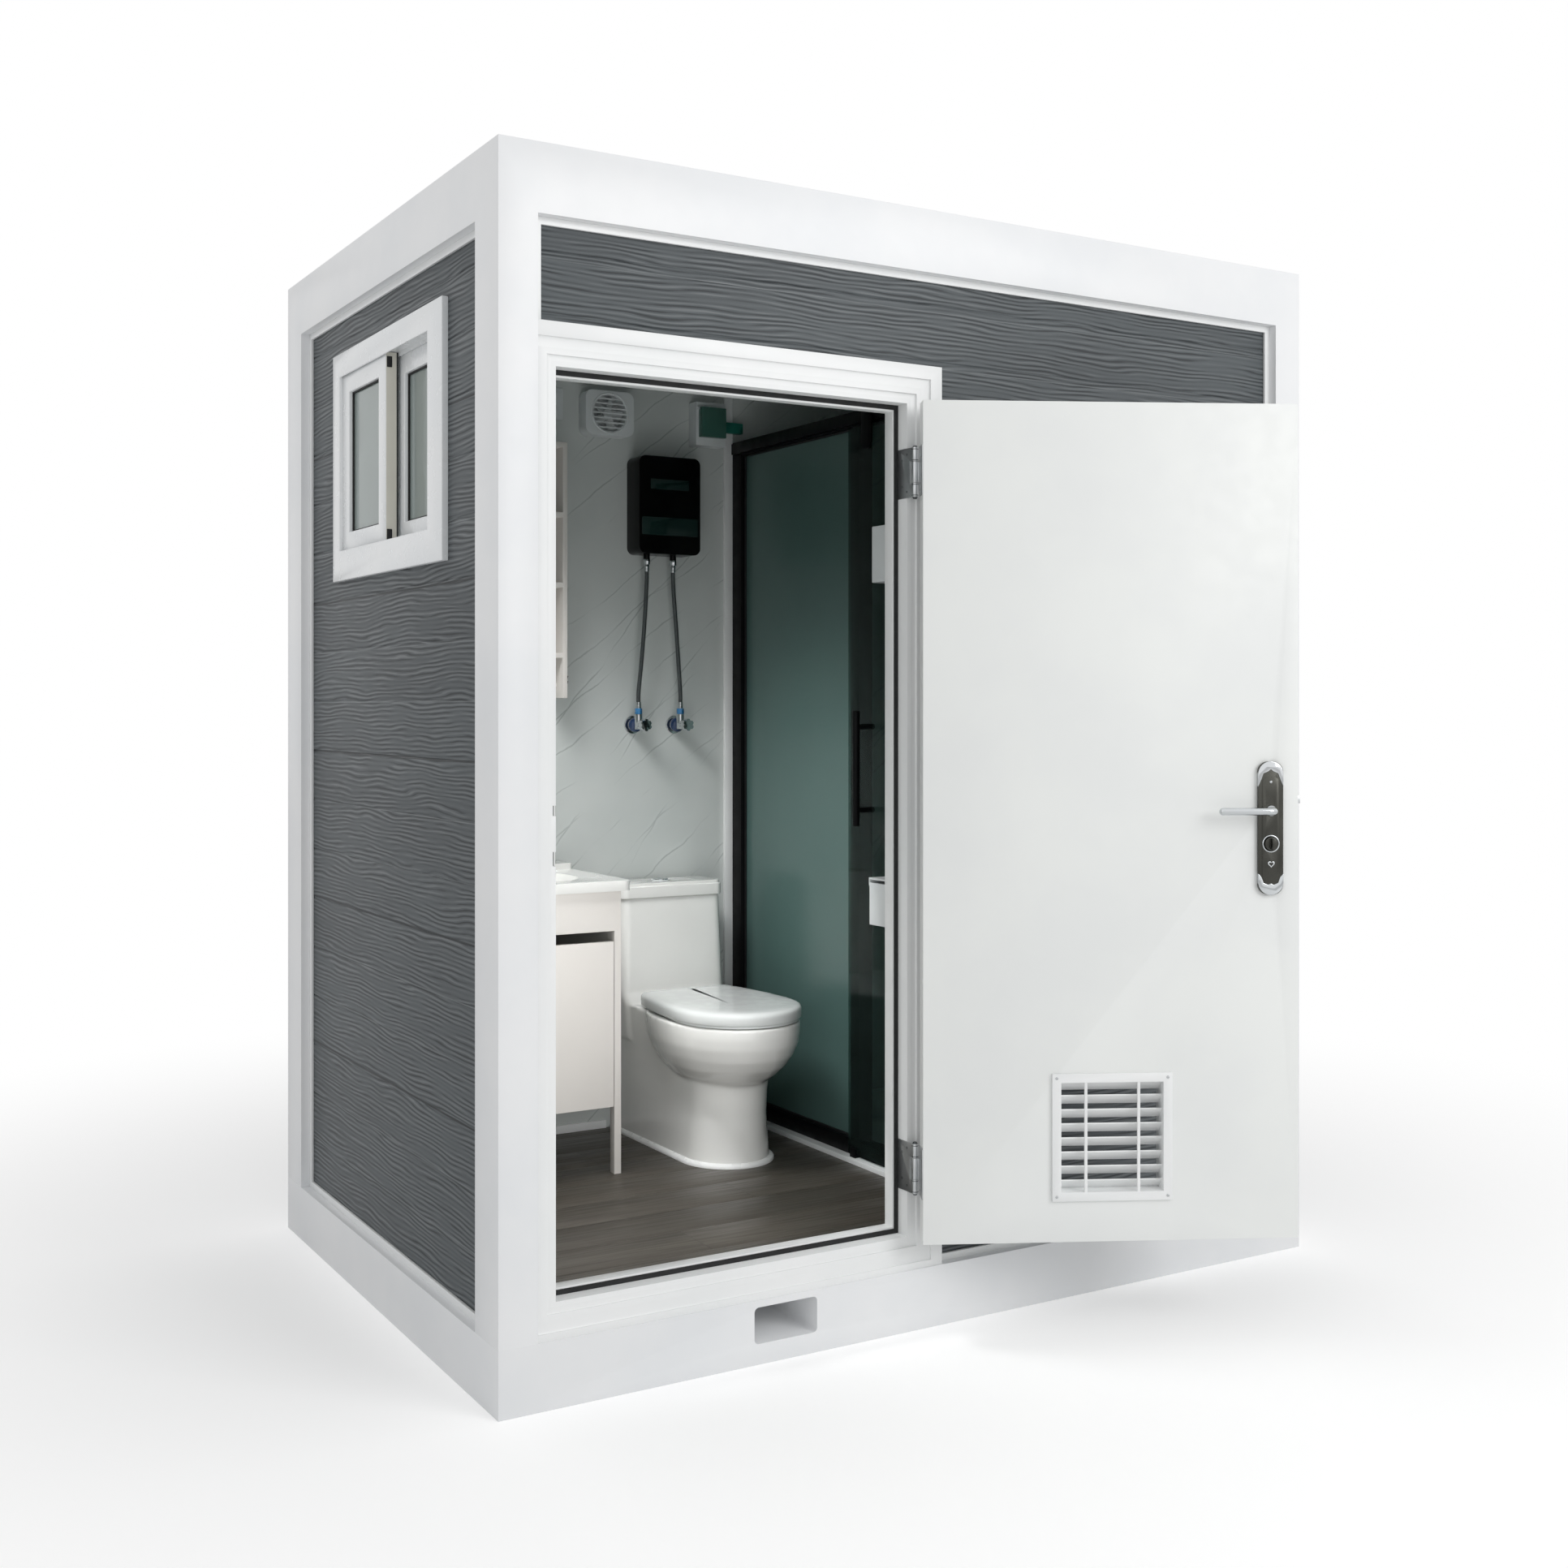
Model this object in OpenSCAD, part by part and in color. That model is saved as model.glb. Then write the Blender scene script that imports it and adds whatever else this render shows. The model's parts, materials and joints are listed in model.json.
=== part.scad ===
// Prefabricated washroom cabin with toilet, vanity and shower.
// Millimetres. Z is up, +X is to the right and +Y goes from the door side to the rear.
// The origin is on the ground under the middle of the base.
// Modules are drawn from the front left ground corner and moved once by in_cabin().

/* [Cabin] */
// Overall width
cabin_w = 2100; // [2000:10:2600]
// Overall depth
cabin_d = 1440; // [1420:10:2000]
// Overall height
cabin_h = 2400; // [2380:10:2700]

/* [Steel frame] */
// Post face seen from the front
post_w = 80; // [70:1:90]
// Post face seen from the side
post_d = 120; // [100:1:140]
// Height of the roof ring beams
roof_beam_h = 135; // [110:1:150]
// Height of the base ring beams
base_beam_h = 130; // [125:1:160]
// Depth of a ring beam in plan
beam_t = 80; // [70:1:90]
// Wall of the folded steel members
steel_wall = 3; // [2:0.5:5]
// Width of a floor joist
joist_w = 60; // [40:1:80]
// Fork pocket width
pocket_w = 149; // [120:1:170]
// Fork pocket height
pocket_h = 74; // [50:1:76]
// Fork pocket corner radius
pocket_r = 10; // [4:1:14]
// Fork pocket centre from the left end
pocket_x = 625; // [560:5:700]
// Underside of the fork pocket above the ground
pocket_z = 42; // [30:1:44]

/* [Walls] */
// Depth of the cladding face behind the frame face
clad_depth = 28; // [24:1:32]
// Thickness of a cladding panel
clad_t = 16; // [12:1:20]
// Height of one cladding panel
clad_pitch = 367; // [300:1:420]
// Width of a pressed board groove
groove_w = 5; // [3:0.5:8]
// Depth of a pressed board groove
groove_deep = 2; // [1:0.5:3]
// Depth of the insulated wall behind the cladding
core_t = 36; // [28:1:44]
// Printed inner skin
skin_t = 5; // [3:1:9]
// Width of the white strip around a wall recess
strip_w = 15; // [10:1:20]
// Thickness of that strip
strip_t = 7; // [4:1:10]

/* [Floor and roof] */
// Floor board thickness
deck_t = 35; // [25:1:45]
// Plank thickness
plank_t = 5; // [4:1:8]
// Plank width
plank_w = 152; // [120:1:220]
// Ceiling board thickness
ceiling_t = 25; // [15:1:40]
// Roof sheet thickness without its ribs
roof_t = 40; // [25:1:50]
// Height of a roof rib
rib_h = 15; // [8:1:18]
// Number of roof ribs
rib_count = 7; // [3:1:12]
// Height of the skirting above the planks
skirt_h = 22; // [15:1:60]

/* [Doorway] */
// Door leaf width
leaf_w = 804; // [760:1:806]
// Wall between the top of the door leaf and the roof beam
lintel_h = 288; // [272:1:360]
// Door leaf thickness
leaf_t = 45; // [40:1:48]
// Angle at which the open leaf stands
leaf_open = 153; // [0:1:165]
// Right edge of the leaf when shut, from the left end of the cabin
leaf_right = 931; // [929:1:960]
// Underside of the leaf above the ground
leaf_z = 203; // [203:1:215]
// Gap between leaf edge and frame
leaf_gap = 5; // [4:0.5:7]
// Front of the shut leaf behind the frame face
leaf_front = 4; // [3:0.5:8]
// Width of the outer casing face
casing_a = 29; // [20:1:40]
// Width of the middle casing face
casing_b = 33; // [20:1:40]
// Width of the inner casing face
casing_c = 21; // [15:1:30]
// Step between casing faces
casing_step = 6; // [3:1:8]
// Stop overlap behind the leaf
stop_w = 14; // [10:1:18]
// Thickness of the rubber seal
seal_t = 2.6; // [2:0.1:4]

/* [Hinges] */
// Knuckle radius
knuckle_r = 7; // [6:0.5:9]
// Hinge pin radius
pin_r = 3; // [2:0.5:4]
// Running clearance of hinge pins and shafts
run_gap = 0.06; // [0.02:0.01:0.1]
// Hinge height
hinge_h = 106; // [90:1:120]
// Hinge plate thickness
plate_t = 2; // [1.5:0.1:2]
// Middle of the lower hinge above the ground
hinge_low = 349; // [330:1:420]
// Middle of the upper hinge below the top of the leaf
hinge_drop = 145; // [120:1:270]
// Hinge axis in front of the cabin face
axis_out = 8; // [7:0.5:12]

/* [Louvre] */
// Louvre frame width
louvre_w = 257; // [200:1:300]
// Louvre frame height
louvre_h = 269; // [200:1:320]
// Underside of the louvre above the leaf underside
louvre_z = 87; // [60:1:120]
// Face width of the louvre frame
louvre_rim = 19; // [12:1:26]
// Number of louvre blades
blade_count = 8; // [5:1:9]
// Blade thickness
blade_t = 3; // [2:0.5:4]

/* [Lock] */
// Lock plate width
plate_w = 54; // [40:1:60]
// Lock plate height
plate_h = 283; // [240:1:300]
// Lock plate thickness
lock_t = 8; // [5:0.5:10]
// Middle of the lock plate from the free edge of the leaf
plate_in = 62; // [50:1:75]
// Middle of the lock plate above the ground
plate_z = 1075; // [1000:1:1120]
// Lever axis above the middle of the plate
lever_up = 37; // [25:1:60]
// Lever length
lever_l = 112; // [90:1:130]
// Lever grip radius
lever_r = 8; // [6:0.5:10]
// Lever grip standing off the plate
lever_off = 46; // [40:1:60]
// Thumb turn axis below the middle of the plate
turn_down = 33; // [20:1:45]
// Height of the latch bolt above the lever axis
latch_up = 22; // [20:1:30]
// Throw of the latch bolt
latch_throw = 11; // [8:1:14]

/* [Window] */
// Outer casing width
win_w = 753; // [700:1:800]
// Outer casing height
win_h = 539; // [480:1:560]
// Middle of the window below the roof beam
win_drop = 365; // [360:1:410]
// Front casing face width
win_rim_front = 88; // [60:1:95]
// Rear casing face width
win_rim_rear = 53; // [45:1:80]
// Top casing face width
win_rim_top = 47; // [40:1:60]
// Bottom casing face width
win_rim_low = 62; // [50:1:70]
// Casing standing proud of the cladding
win_proud = 14; // [8:1:20]
// Sash thickness
sash_t = 29; // [24:1:30]
// Sash face width
sash_rim = 50; // [35:1:60]
// Overlap of the two sashes
sash_lap = 24; // [15:1:40]
// Glass thickness of windows and shower
glass_t = 5; // [4:1:8]
// Running gap around sliding sashes and doors
slide_gap = 0.5; // [0.3:0.1:1]

/* [Toilet] */
// Toilet axis from the left end of the cabin
pan_x = 982; // [960:1:990]
// Toilet length from its back to the bowl tip
pan_l = 684; // [640:1:720]
// Half width of the bowl rim
pan_half = 174; // [160:1:185]
// Rim height above the floor
rim_h = 366; // [350:1:420]
// Tank width at the top
tank_w = 300; // [280:1:330]
// Tank depth at the top
tank_d = 150; // [135:1:180]
// Tank height above the floor
tank_h = 646; // [620:1:700]
// Tank lid thickness
tank_lid_t = 38; // [25:1:45]
// Seat thickness
seat_t = 15; // [12:1:20]
// Seat cover thickness
cover_t = 24; // [18:1:30]
// Gap of the toilet behind the tank
pan_back = 5; // [3:1:20]

/* [Vanity] */
// Vanity width
vanity_w = 595; // [500:5:600]
// Vanity depth under the top
vanity_d = 460; // [400:5:480]
// Height of the top above the floor
vanity_h = 729; // [700:1:850]
// Basin top thickness
basin_t = 25; // [20:1:40]
// Overhang of the basin top to the right
basin_over = 28; // [5:1:30]
// Cabinet board thickness
board_t = 18; // [15:1:22]
// Clear height under the cabinet
leg_h = 167; // [120:1:200]
// Leg section
leg_w = 24; // [18:1:30]
// Height of the upper front panel
apron_h = 95; // [70:1:130]
// Height of the finger slot above the door
slot_h = 26; // [20:1:35]
// Depth of the basin bowl
bowl_deep = 120; // [90:1:150]
// Height of the rear tap deck above the top
tap_deck_h = 16; // [8:1:25]

/* [Mirror cabinet] */
// Cabinet width
mirror_w = 600; // [500:5:605]
// Cabinet height
mirror_h = 681; // [600:1:720]
// Cabinet depth
mirror_d = 110; // [100:1:140]
// Top of the cabinet below the ceiling
mirror_drop = 203; // [190:1:280]
// Width of the open shelves
shelf_w = 150; // [120:1:200]
// Board thickness
shelf_t = 13; // [10:1:16]
// Shelf pitch
shelf_pitch = 187; // [160:1:190]

/* [Water heater] */
// Heater width
heater_w = 189; // [160:1:240]
// Heater height
heater_h = 270; // [240:1:320]
// Heater depth
heater_d = 80; // [60:1:110]
// Heater corner radius
heater_r = 20; // [10:1:30]
// Left side of the heater from the left end of the cabin
heater_x = 918; // [800:1:940]
// Top of the heater below the ceiling
heater_drop = 215; // [200:1:280]
// Hose radius
hose_r = 6; // [5:0.5:8]
// Height of the wall valves above the floor
valve_z = 1112; // [1000:1:1150]
// Distance between the two wall valves
valve_gap = 130; // [100:1:150]

/* [Small fittings] */
// Fan housing width
fan_w = 145; // [120:1:180]
// Fan housing height
fan_h = 122; // [110:1:150]
// Fan grille radius
fan_r = 50; // [40:1:54]
// Wall box width and height of the socket plate
socket_w = 86; // [80:1:90]
// Breaker box width
breaker_w = 94; // [80:1:120]
// Breaker box height
breaker_h = 122; // [100:1:140]
// Width of the two wall boxes beside the door
wallbox_w = 150; // [120:1:170]
// Depth of those boxes
wallbox_d = 120; // [100:1:130]
// Height of the soap dispenser
soap_h = 125; // [100:1:160]
// Height of the paper box
paper_h = 110; // [90:1:140]

/* [Shower] */
// Room side of the partition frame from the left end of the cabin
shower_x = 1250; // [1240:1:1350]
// Partition frame depth
frame_t = 40; // [30:1:45]
// Top of the partition below the ceiling
screen_drop = 150; // [110:1:220]
// Near edge of the middle stile from the cabin front
stile_y = 678; // [640:1:700]
// Middle stile width
stile_w = 41; // [30:1:60]
// Rear stile width
rear_stile_w = 58; // [40:1:80]
// Rail height
rail_h = 40; // [30:1:60]
// Tray kerb height above the deck
kerb_h = 17; // [12:1:30]
// White kerb strip in front of the frame
kerb_w = 26; // [15:1:40]
// Height of the middle of the door handle above the floor
grip_z = 1008; // [900:1:1100]
// Distance between the two handle pegs
grip_gap = 209; // [150:1:260]
// Peg standing off the glass
grip_off = 45; // [35:1:50]
// Height of the shower mixer above the floor
mixer_z = 1000; // [900:1:1100]
// Radius of the overhead shower
head_r = 100; // [80:1:120]

/* [Hidden] */
$fn = 48;

white = "#F2F3F3";
slate = "#53585B";
steel = "#B9BDC0";
ceramic = "#F4F4F2";
black = "#1C1D1F";
chrome = "#C9CED2";
glass_tint = [0.45, 0.6, 0.58, 0.5];

// Planes of the room, from the front left ground corner
lining_depth = clad_depth + clad_t + core_t + skin_t;
core_in = lining_depth - skin_t;
in_l = lining_depth;
in_r = cabin_w - lining_depth;
in_f = lining_depth;
in_b = cabin_d - lining_depth;
roof_z = cabin_h - roof_beam_h;
deck_z = base_beam_h + deck_t;
floor_z = deck_z + plank_t;
ceiling_z = roof_z - ceiling_t;
touch = 0.3;

// Doorway planes
leaf_left = leaf_right - leaf_w;
leaf_top = roof_z - lintel_h;
hinge_high = leaf_top - hinge_drop;
leaf_back = leaf_front + leaf_t;
stop_front = leaf_back + touch + seal_t;
hinge_x = leaf_right + 9;
hinge_y = -axis_out;
casing_sum = casing_a + casing_b + casing_c;
rebate_l = leaf_left - leaf_gap + 1;
rebate_r = leaf_right + leaf_gap;
rebate_lo = leaf_z - leaf_gap;
rebate_hi = leaf_top + leaf_gap;
casing_l = rebate_l - casing_sum;
casing_r = rebate_r + casing_sum;
casing_lo = rebate_lo - casing_sum;
casing_hi = rebate_hi + casing_sum;
behind = casing_a - 5;
strike_deep = 20;

// Window planes, with the wall's own sideways direction along the cabin depth
win_y = (cabin_d - win_w) / 2;
win_lo = roof_z - win_drop - win_h / 2;
open_f = win_y + win_rim_front;
open_r = win_y + win_w - win_rim_rear;
open_lo = win_lo + win_rim_low;
open_hi = win_lo + win_h - win_rim_top;
win_box = 28;
outer_x = clad_depth - 6;
track_w = 5;
inner_x = outer_x + sash_t + track_w + 2 * slide_gap;
win_in = inner_x + sash_t + slide_gap;
sash_w = (open_r - open_f + sash_lap) / 2;

// Toilet planes
pan_y = in_b - pan_back;
tip_y = pan_y - pan_l;
rim_z = floor_z + rim_h;
tank_z = floor_z + tank_h;
seat_z = rim_z + 2;
cover_z = seat_z + seat_t + 1;
cover_lo = seat_z + 6;
seat_axis_y = pan_y - tank_d - 62;
seat_axis_z = cover_z + 6;

// Vanity planes
vanity_l = in_l + touch;
vanity_r = vanity_l + vanity_w;
vanity_y = in_b - vanity_d;
top_z = floor_z + vanity_h;
carcass_z = top_z - basin_t;
carcass_lo = floor_z + leg_h;
apron_z = carcass_z - 4 - apron_h;
door_hi = apron_z - slot_h;
basin_y = vanity_y - 8;
bowl_x = vanity_l + 345;
bowl_y = vanity_y + 190;
tap_x = vanity_l + 540;
tap_y = in_b - 62;
tap_z = top_z + tap_deck_h;

// Mirror cabinet planes
mirror_l = in_l + 5;
mirror_r = mirror_l + mirror_w;
mirror_y = in_b - mirror_d;
mirror_hi = ceiling_z - mirror_drop;
mirror_lo = mirror_hi - mirror_h;
shelf_l = mirror_r - shelf_w;

// Heater and valves
heater_y = in_b - heater_d;
heater_lo = ceiling_z - heater_drop - heater_h;
valve_lo = floor_z + valve_z;
valve_mid = heater_x + heater_w / 2 - 14;
valve_y = heater_y + 38;
port_y = valve_y;
port_gap = 82;
port_mid = valve_mid + 1;

// Pipes under the floor
soil_r = 44;
soil_y = in_b - 375;
grey_r = 25;
waste_r = 16;
pipe_lo = 25;
drain_x = (shower_x + in_r) / 2;
drain_y = cabin_d / 2 + 180;

// Shower planes
kerb_z = deck_z + kerb_h;
screen_z = ceiling_z - screen_drop;
tray_l = shower_x - kerb_w;
slide_x = shower_x - 10;
door_near = in_f + 22;
door_far = stile_y + 40;
door_lo = kerb_z + 8;
rail_z = screen_z - 5;
door_hi_z = rail_z - 40;
column_x = in_r - 55;
column_y = cabin_d / 2;

// Entrance door hardware
plate_x = leaf_left + plate_in;
lever_z = plate_z + lever_up;
turn_z = plate_z - turn_down;
latch_z = lever_z + latch_up;
leaf_mid = leaf_front + leaf_t / 2;

module in_cabin() {
    translate([-cabin_w / 2, -cabin_d / 2, 0]) children();
}

module block(lo, hi) {
    translate(lo) cube(hi - lo);
}

// Rounded rectangle from the origin
module round_rect(w, h, r) {
    translate([r, 0]) square([w - 2 * r, h]);
    translate([0, r]) square([w, h - 2 * r]);
    for (x = [r, w - r], y = [r, h - r])
        translate([x, y]) circle(r);
}

// Plate in a plane square to Y, from y0 to y1, its outline drawn in X and Z
module plate_y(y0, y1) {
    translate([0, y1, 0]) rotate([90, 0, 0]) linear_extrude(y1 - y0) children();
}

// Plate in a plane square to X, from x0 to x1, its outline drawn in Y and Z
module plate_x(x0, x1) {
    translate([x0, 0, 0]) rotate([90, 0, 90]) linear_extrude(x1 - x0) children();
}

module rod_x(x0, x1, y, z, r) {
    translate([x0, y, z]) rotate([0, 90, 0]) cylinder(h = x1 - x0, r = r);
}

module rod_y(x, y0, y1, z, r) {
    translate([x, y1, z]) rotate([90, 0, 0]) cylinder(h = y1 - y0, r = r);
}

module rod_z(x, y, z0, z1, r) {
    translate([x, y, z0]) cylinder(h = z1 - z0, r = r);
}

// The four walls share one drawing: x runs along the wall and y goes inward
module front_wall() {
    children();
}

module rear_wall() {
    translate([0, cabin_d, 0]) mirror([0, 1, 0]) children();
}

module left_wall() {
    mirror([1, -1, 0]) children();
}

module right_wall() {
    translate([cabin_w, 0, 0]) mirror([1, 0, 0]) left_wall() children();
}

// Rectangular steel tube with closed ends and one drain hole in its inner side
module closed_tube(lo, hi, drain) {
    w = [steel_wall, steel_wall, steel_wall];
    difference() {
        block(lo, hi);
        block(lo + w, hi - w);
        translate(drain) cube(2 * steel_wall + 2, center = true);
    }
}

module pocket_outline(grow) {
    translate([pocket_x - pocket_w / 2 - grow, pocket_z - grow])
        round_rect(pocket_w + 2 * grow, pocket_h + 2 * grow, pocket_r + grow);
}

module pocket_beam() {
    difference() {
        closed_tube([0, 0, 0], [cabin_w, beam_t, base_beam_h], [cabin_w / 4, beam_t, base_beam_h / 2]);
        plate_y(-1, beam_t + 1) pocket_outline(steel_wall);
    }
}

// Base ring, joists and the fork tunnel, welded into one frame
module base_frame() {
    joists = [cabin_d / 2 - 420, cabin_d / 2, cabin_d / 2 + 460];
    tunnel = pocket_w / 2 + steel_wall;
    in_cabin() color(white) {
        front_wall() pocket_beam();
        rear_wall() pocket_beam();
        for (x = [0, cabin_w - post_w])
            closed_tube([x, beam_t, 0], [x + post_w, cabin_d - beam_t, base_beam_h],
                [x == 0 ? post_w : x, cabin_d / 2, base_beam_h / 2]);
        for (y = joists, span = [[post_w, pocket_x - tunnel], [pocket_x + tunnel, cabin_w - post_w]])
            closed_tube([span[0], y - joist_w / 2, 0], [span[1], y + joist_w / 2, base_beam_h],
                [span[0] + 60, y - joist_w / 2, base_beam_h / 2]);
        plate_y(0, cabin_d) difference() {
            pocket_outline(steel_wall);
            pocket_outline(0);
        }
    }
}

// Four corner posts and the roof ring
module upper_frame() {
    in_cabin() color(white) {
        for (x = [0, cabin_w - post_w], y = [0, cabin_d - post_d])
            closed_tube([x, y, base_beam_h], [x + post_w, y + post_d, roof_z],
                [x == 0 ? post_w : x, y + post_d / 2, roof_z - 40]);
        for (y = [0, cabin_d - beam_t])
            closed_tube([0, y, roof_z], [cabin_w, y + beam_t, cabin_h],
                [cabin_w / 2, y == 0 ? beam_t : y, roof_z + 30]);
        for (x = [0, cabin_w - post_w])
            closed_tube([x, beam_t, roof_z], [x + post_w, cabin_d - beam_t, cabin_h],
                [x == 0 ? post_w : x, cabin_d / 2, roof_z + 30]);
    }
}

module floor_holes(gap) {
    rod_z(pan_x, soil_y, 0, floor_z + 1, soil_r + gap);
    rod_z(bowl_x, bowl_y, 0, floor_z + 1, waste_r + gap);
    rod_z(drain_x, drain_y, 0, floor_z + 1, grey_r + gap);
}

module floor_deck() {
    in_cabin() color("#8F8A80") difference() {
        union() {
            block([in_l, in_f, base_beam_h], [in_r, in_b, deck_z]);
            block([in_l, core_in, base_beam_h], [casing_r - behind, in_f, deck_z]);
        }
        floor_holes(1);
    }
}

// Plank floor laid along the cabin width, with a fine groove at each long joint
module floor_planks() {
    rows = floor((in_b - core_in) / plank_w);
    in_cabin() color("#4B4039") difference() {
        union() {
            block([in_l, in_f, deck_z], [tray_l, in_b, floor_z]);
            block([in_l, core_in, deck_z], [casing_r - behind, in_f, floor_z]);
        }
        for (i = [1 : rows])
            block([in_l - 1, core_in + i * plank_w, floor_z - 1],
                [tray_l + 1, core_in + i * plank_w + 1.5, floor_z + 1]);
        floor_holes(1);
    }
}

module roof_panel() {
    z0 = cabin_h - rib_h - roof_t - 10;
    pitch = (cabin_w - 2 * post_w) / rib_count;
    in_cabin() color("#D9DCDD") {
        block([post_w, beam_t, z0], [cabin_w - post_w, cabin_d - beam_t, z0 + roof_t]);
        for (i = [0 : rib_count - 1])
            block([post_w + (i + 0.5) * pitch - 12, beam_t, z0 + roof_t],
                [post_w + (i + 0.5) * pitch + 12, cabin_d - beam_t, z0 + roof_t + rib_h]);
    }
}

module ceiling_panel() {
    in_cabin() color("#E9EBEA") block([in_l, in_f, ceiling_z], [in_r, in_b, roof_z]);
}

// Face outline of one cladding panel in depth and height, with its pressed grooves
function groove_points(z0, z1) = [
    for (k = [0 : 24]) let (z = 123 + k * clad_pitch / 3)
        if (z > z0 + groove_w && z < z1 - groove_w)
            each [[clad_depth, z - groove_w / 2], [clad_depth + groove_deep, z], [clad_depth, z + groove_w / 2]]
];

module siding(x0, x1, z0, z1) {
    edge = groove_w / 2;
    translate([x0, 0, 0]) rotate([90, 0, 90]) linear_extrude(x1 - x0) polygon(concat(
        [[clad_depth + groove_deep, z0], [clad_depth, z0 + edge]],
        groove_points(z0, z1),
        [[clad_depth, z1 - edge], [clad_depth + groove_deep, z1],
            [clad_depth + clad_t, z1], [clad_depth + clad_t, z0]]));
}

// Stack of cladding panels between two ends of a wall
module siding_stack(x0, x1) {
    seams = [for (k = [0 : 8]) let (z = 123 + k * clad_pitch) if (z > base_beam_h && z < roof_z - 60) z];
    edges = concat([base_beam_h], seams, [roof_z]);
    for (i = [0 : len(edges) - 2])
        siding(x0, x1, edges[i], edges[i + 1]);
}

module doorway_cut() {
    block([0, -1, 0], [casing_r - behind, in_f + 1, casing_hi - behind]);
}

module window_cut() {
    block([open_f - win_box, -1, open_lo - win_box], [open_r + win_box, in_f + 1, open_hi + win_box]);
}

module wall_cladding() {
    in_cabin() color(slate) {
        front_wall() difference() {
            siding_stack(post_w, cabin_w - post_w);
            doorway_cut();
        }
        rear_wall() difference() {
            siding_stack(post_w, cabin_w - post_w);
            inlet_hole();
        }
        left_wall() difference() {
            siding_stack(post_d, cabin_d - post_d);
            window_cut();
        }
        right_wall() siding_stack(post_d, cabin_d - post_d);
    }
}

// Insulated wall with its printed skin, which also covers the posts inside
module wall_slab(x0, x1, z0, z1, left_end, right_end) {
    block([x0, clad_depth + clad_t, z0], [x1, core_in, z1]);
    block([x0 - left_end, core_in, z0], [x1 + right_end, in_f, z1]);
}

module wall_lining() {
    post_skin = post_d - in_f;
    head = casing_hi - behind;
    jamb = casing_r - behind;
    in_cabin() color("#B9BEBD") {
        front_wall() {
            wall_slab(jamb, cabin_w - post_w, base_beam_h, head, 0, 0);
            wall_slab(post_w, cabin_w - post_w, head, roof_z, 0, 0);
        }
        rear_wall() difference() {
            wall_slab(post_w, cabin_w - post_w, base_beam_h, roof_z, 0, 0);
            inlet_hole();
        }
        left_wall() {
            lo = open_lo - win_box;
            hi = open_hi + win_box;
            wall_slab(post_d, cabin_d - post_d, base_beam_h, lo, post_skin, post_skin);
            wall_slab(post_d, cabin_d - post_d, hi, roof_z, post_skin, post_skin);
            wall_slab(post_d, open_f - win_box, lo, hi, post_skin, 0);
            wall_slab(open_r + win_box, cabin_d - post_d, lo, hi, 0, post_skin);
        }
        right_wall() wall_slab(post_d, cabin_d - post_d, base_beam_h, roof_z, post_skin, post_skin);
    }
}

inlet_x = 760;
inlet_z = 300;
inlet_r = 10;
inlet_out = clad_depth - 4;

module inlet_hole() {
    rod_y(inlet_x, clad_depth - 1, core_in, inlet_z, inlet_r + 0.5);
}

// White strips round one wall recess
module recess_strips(x0, x1) {
    y0 = clad_depth - strip_t;
    for (z = [base_beam_h, roof_z - strip_w])
        block([x0, y0, z], [x1, clad_depth, z + strip_w]);
    for (x = [x0, x1 - strip_w])
        block([x, y0, base_beam_h + strip_w], [x + strip_w, clad_depth, roof_z - strip_w]);
}

module trims() {
    in_cabin() color(white) {
        front_wall() difference() {
            recess_strips(post_w, cabin_w - post_w);
            block([0, 0, 0], [casing_r, clad_depth + 1, casing_hi]);
        }
        rear_wall() recess_strips(post_w, cabin_w - post_w);
        left_wall() recess_strips(post_d, cabin_d - post_d);
        right_wall() recess_strips(post_d, cabin_d - post_d);
        // Skirting on the rear wall, the upright beside the shower frame and the cornice
        for (span = [[vanity_l + board_t, vanity_r - board_t], [vanity_r, pan_x - 130], [pan_x + 130, tray_l]])
            block([span[0] + touch, in_b - 8, floor_z], [span[1] - touch, in_b, floor_z + skirt_h]);
        block([tray_l, in_b - 10, kerb_z], [shower_x - touch, in_b, ceiling_z]);
        block([in_l, in_b - 8, ceiling_z - 20], [tray_l, in_b, ceiling_z]);
        block([in_l, in_f, ceiling_z - 20], [in_l + 8, in_b - 8, ceiling_z]);
    }
}

// Cross-section of a casing member: x runs from its outer edge towards the opening
module casing_profile() {
    f = leaf_front;
    polygon([[0, f], [casing_a, f], [casing_a, f + casing_step],
        [casing_a + casing_b, f + casing_step], [casing_a + casing_b, f + 2 * casing_step],
        [casing_sum, f + 2 * casing_step], [casing_sum, stop_front],
        [behind, stop_front], [behind, clad_depth], [0, clad_depth]]);
}

// Casing member of a given outer length with mitred ends, running up along Z
module casing_member(l) {
    m = casing_sum + 1;
    intersection() {
        linear_extrude(l) casing_profile();
        plate_y(-1, 100) polygon([[0, 0], [m, m], [m, l - m], [0, l]]);
    }
}

module casing_ring() {
    w = casing_r - casing_l;
    h = casing_hi - casing_lo;
    translate([casing_l, 0, casing_lo]) {
        casing_member(h);
        translate([w, 0, 0]) mirror([1, 0, 0]) casing_member(h);
        translate([0, 0, h]) mirror([0, 0, 1]) mirror([1, 0, -1]) casing_member(w);
        mirror([1, 0, -1]) casing_member(w);
    }
}

module bolt_notch(z, h) {
    block([rebate_l - strike_deep, -1, z - h / 2], [rebate_l + 1, leaf_mid + 10, z + h / 2]);
}

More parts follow.
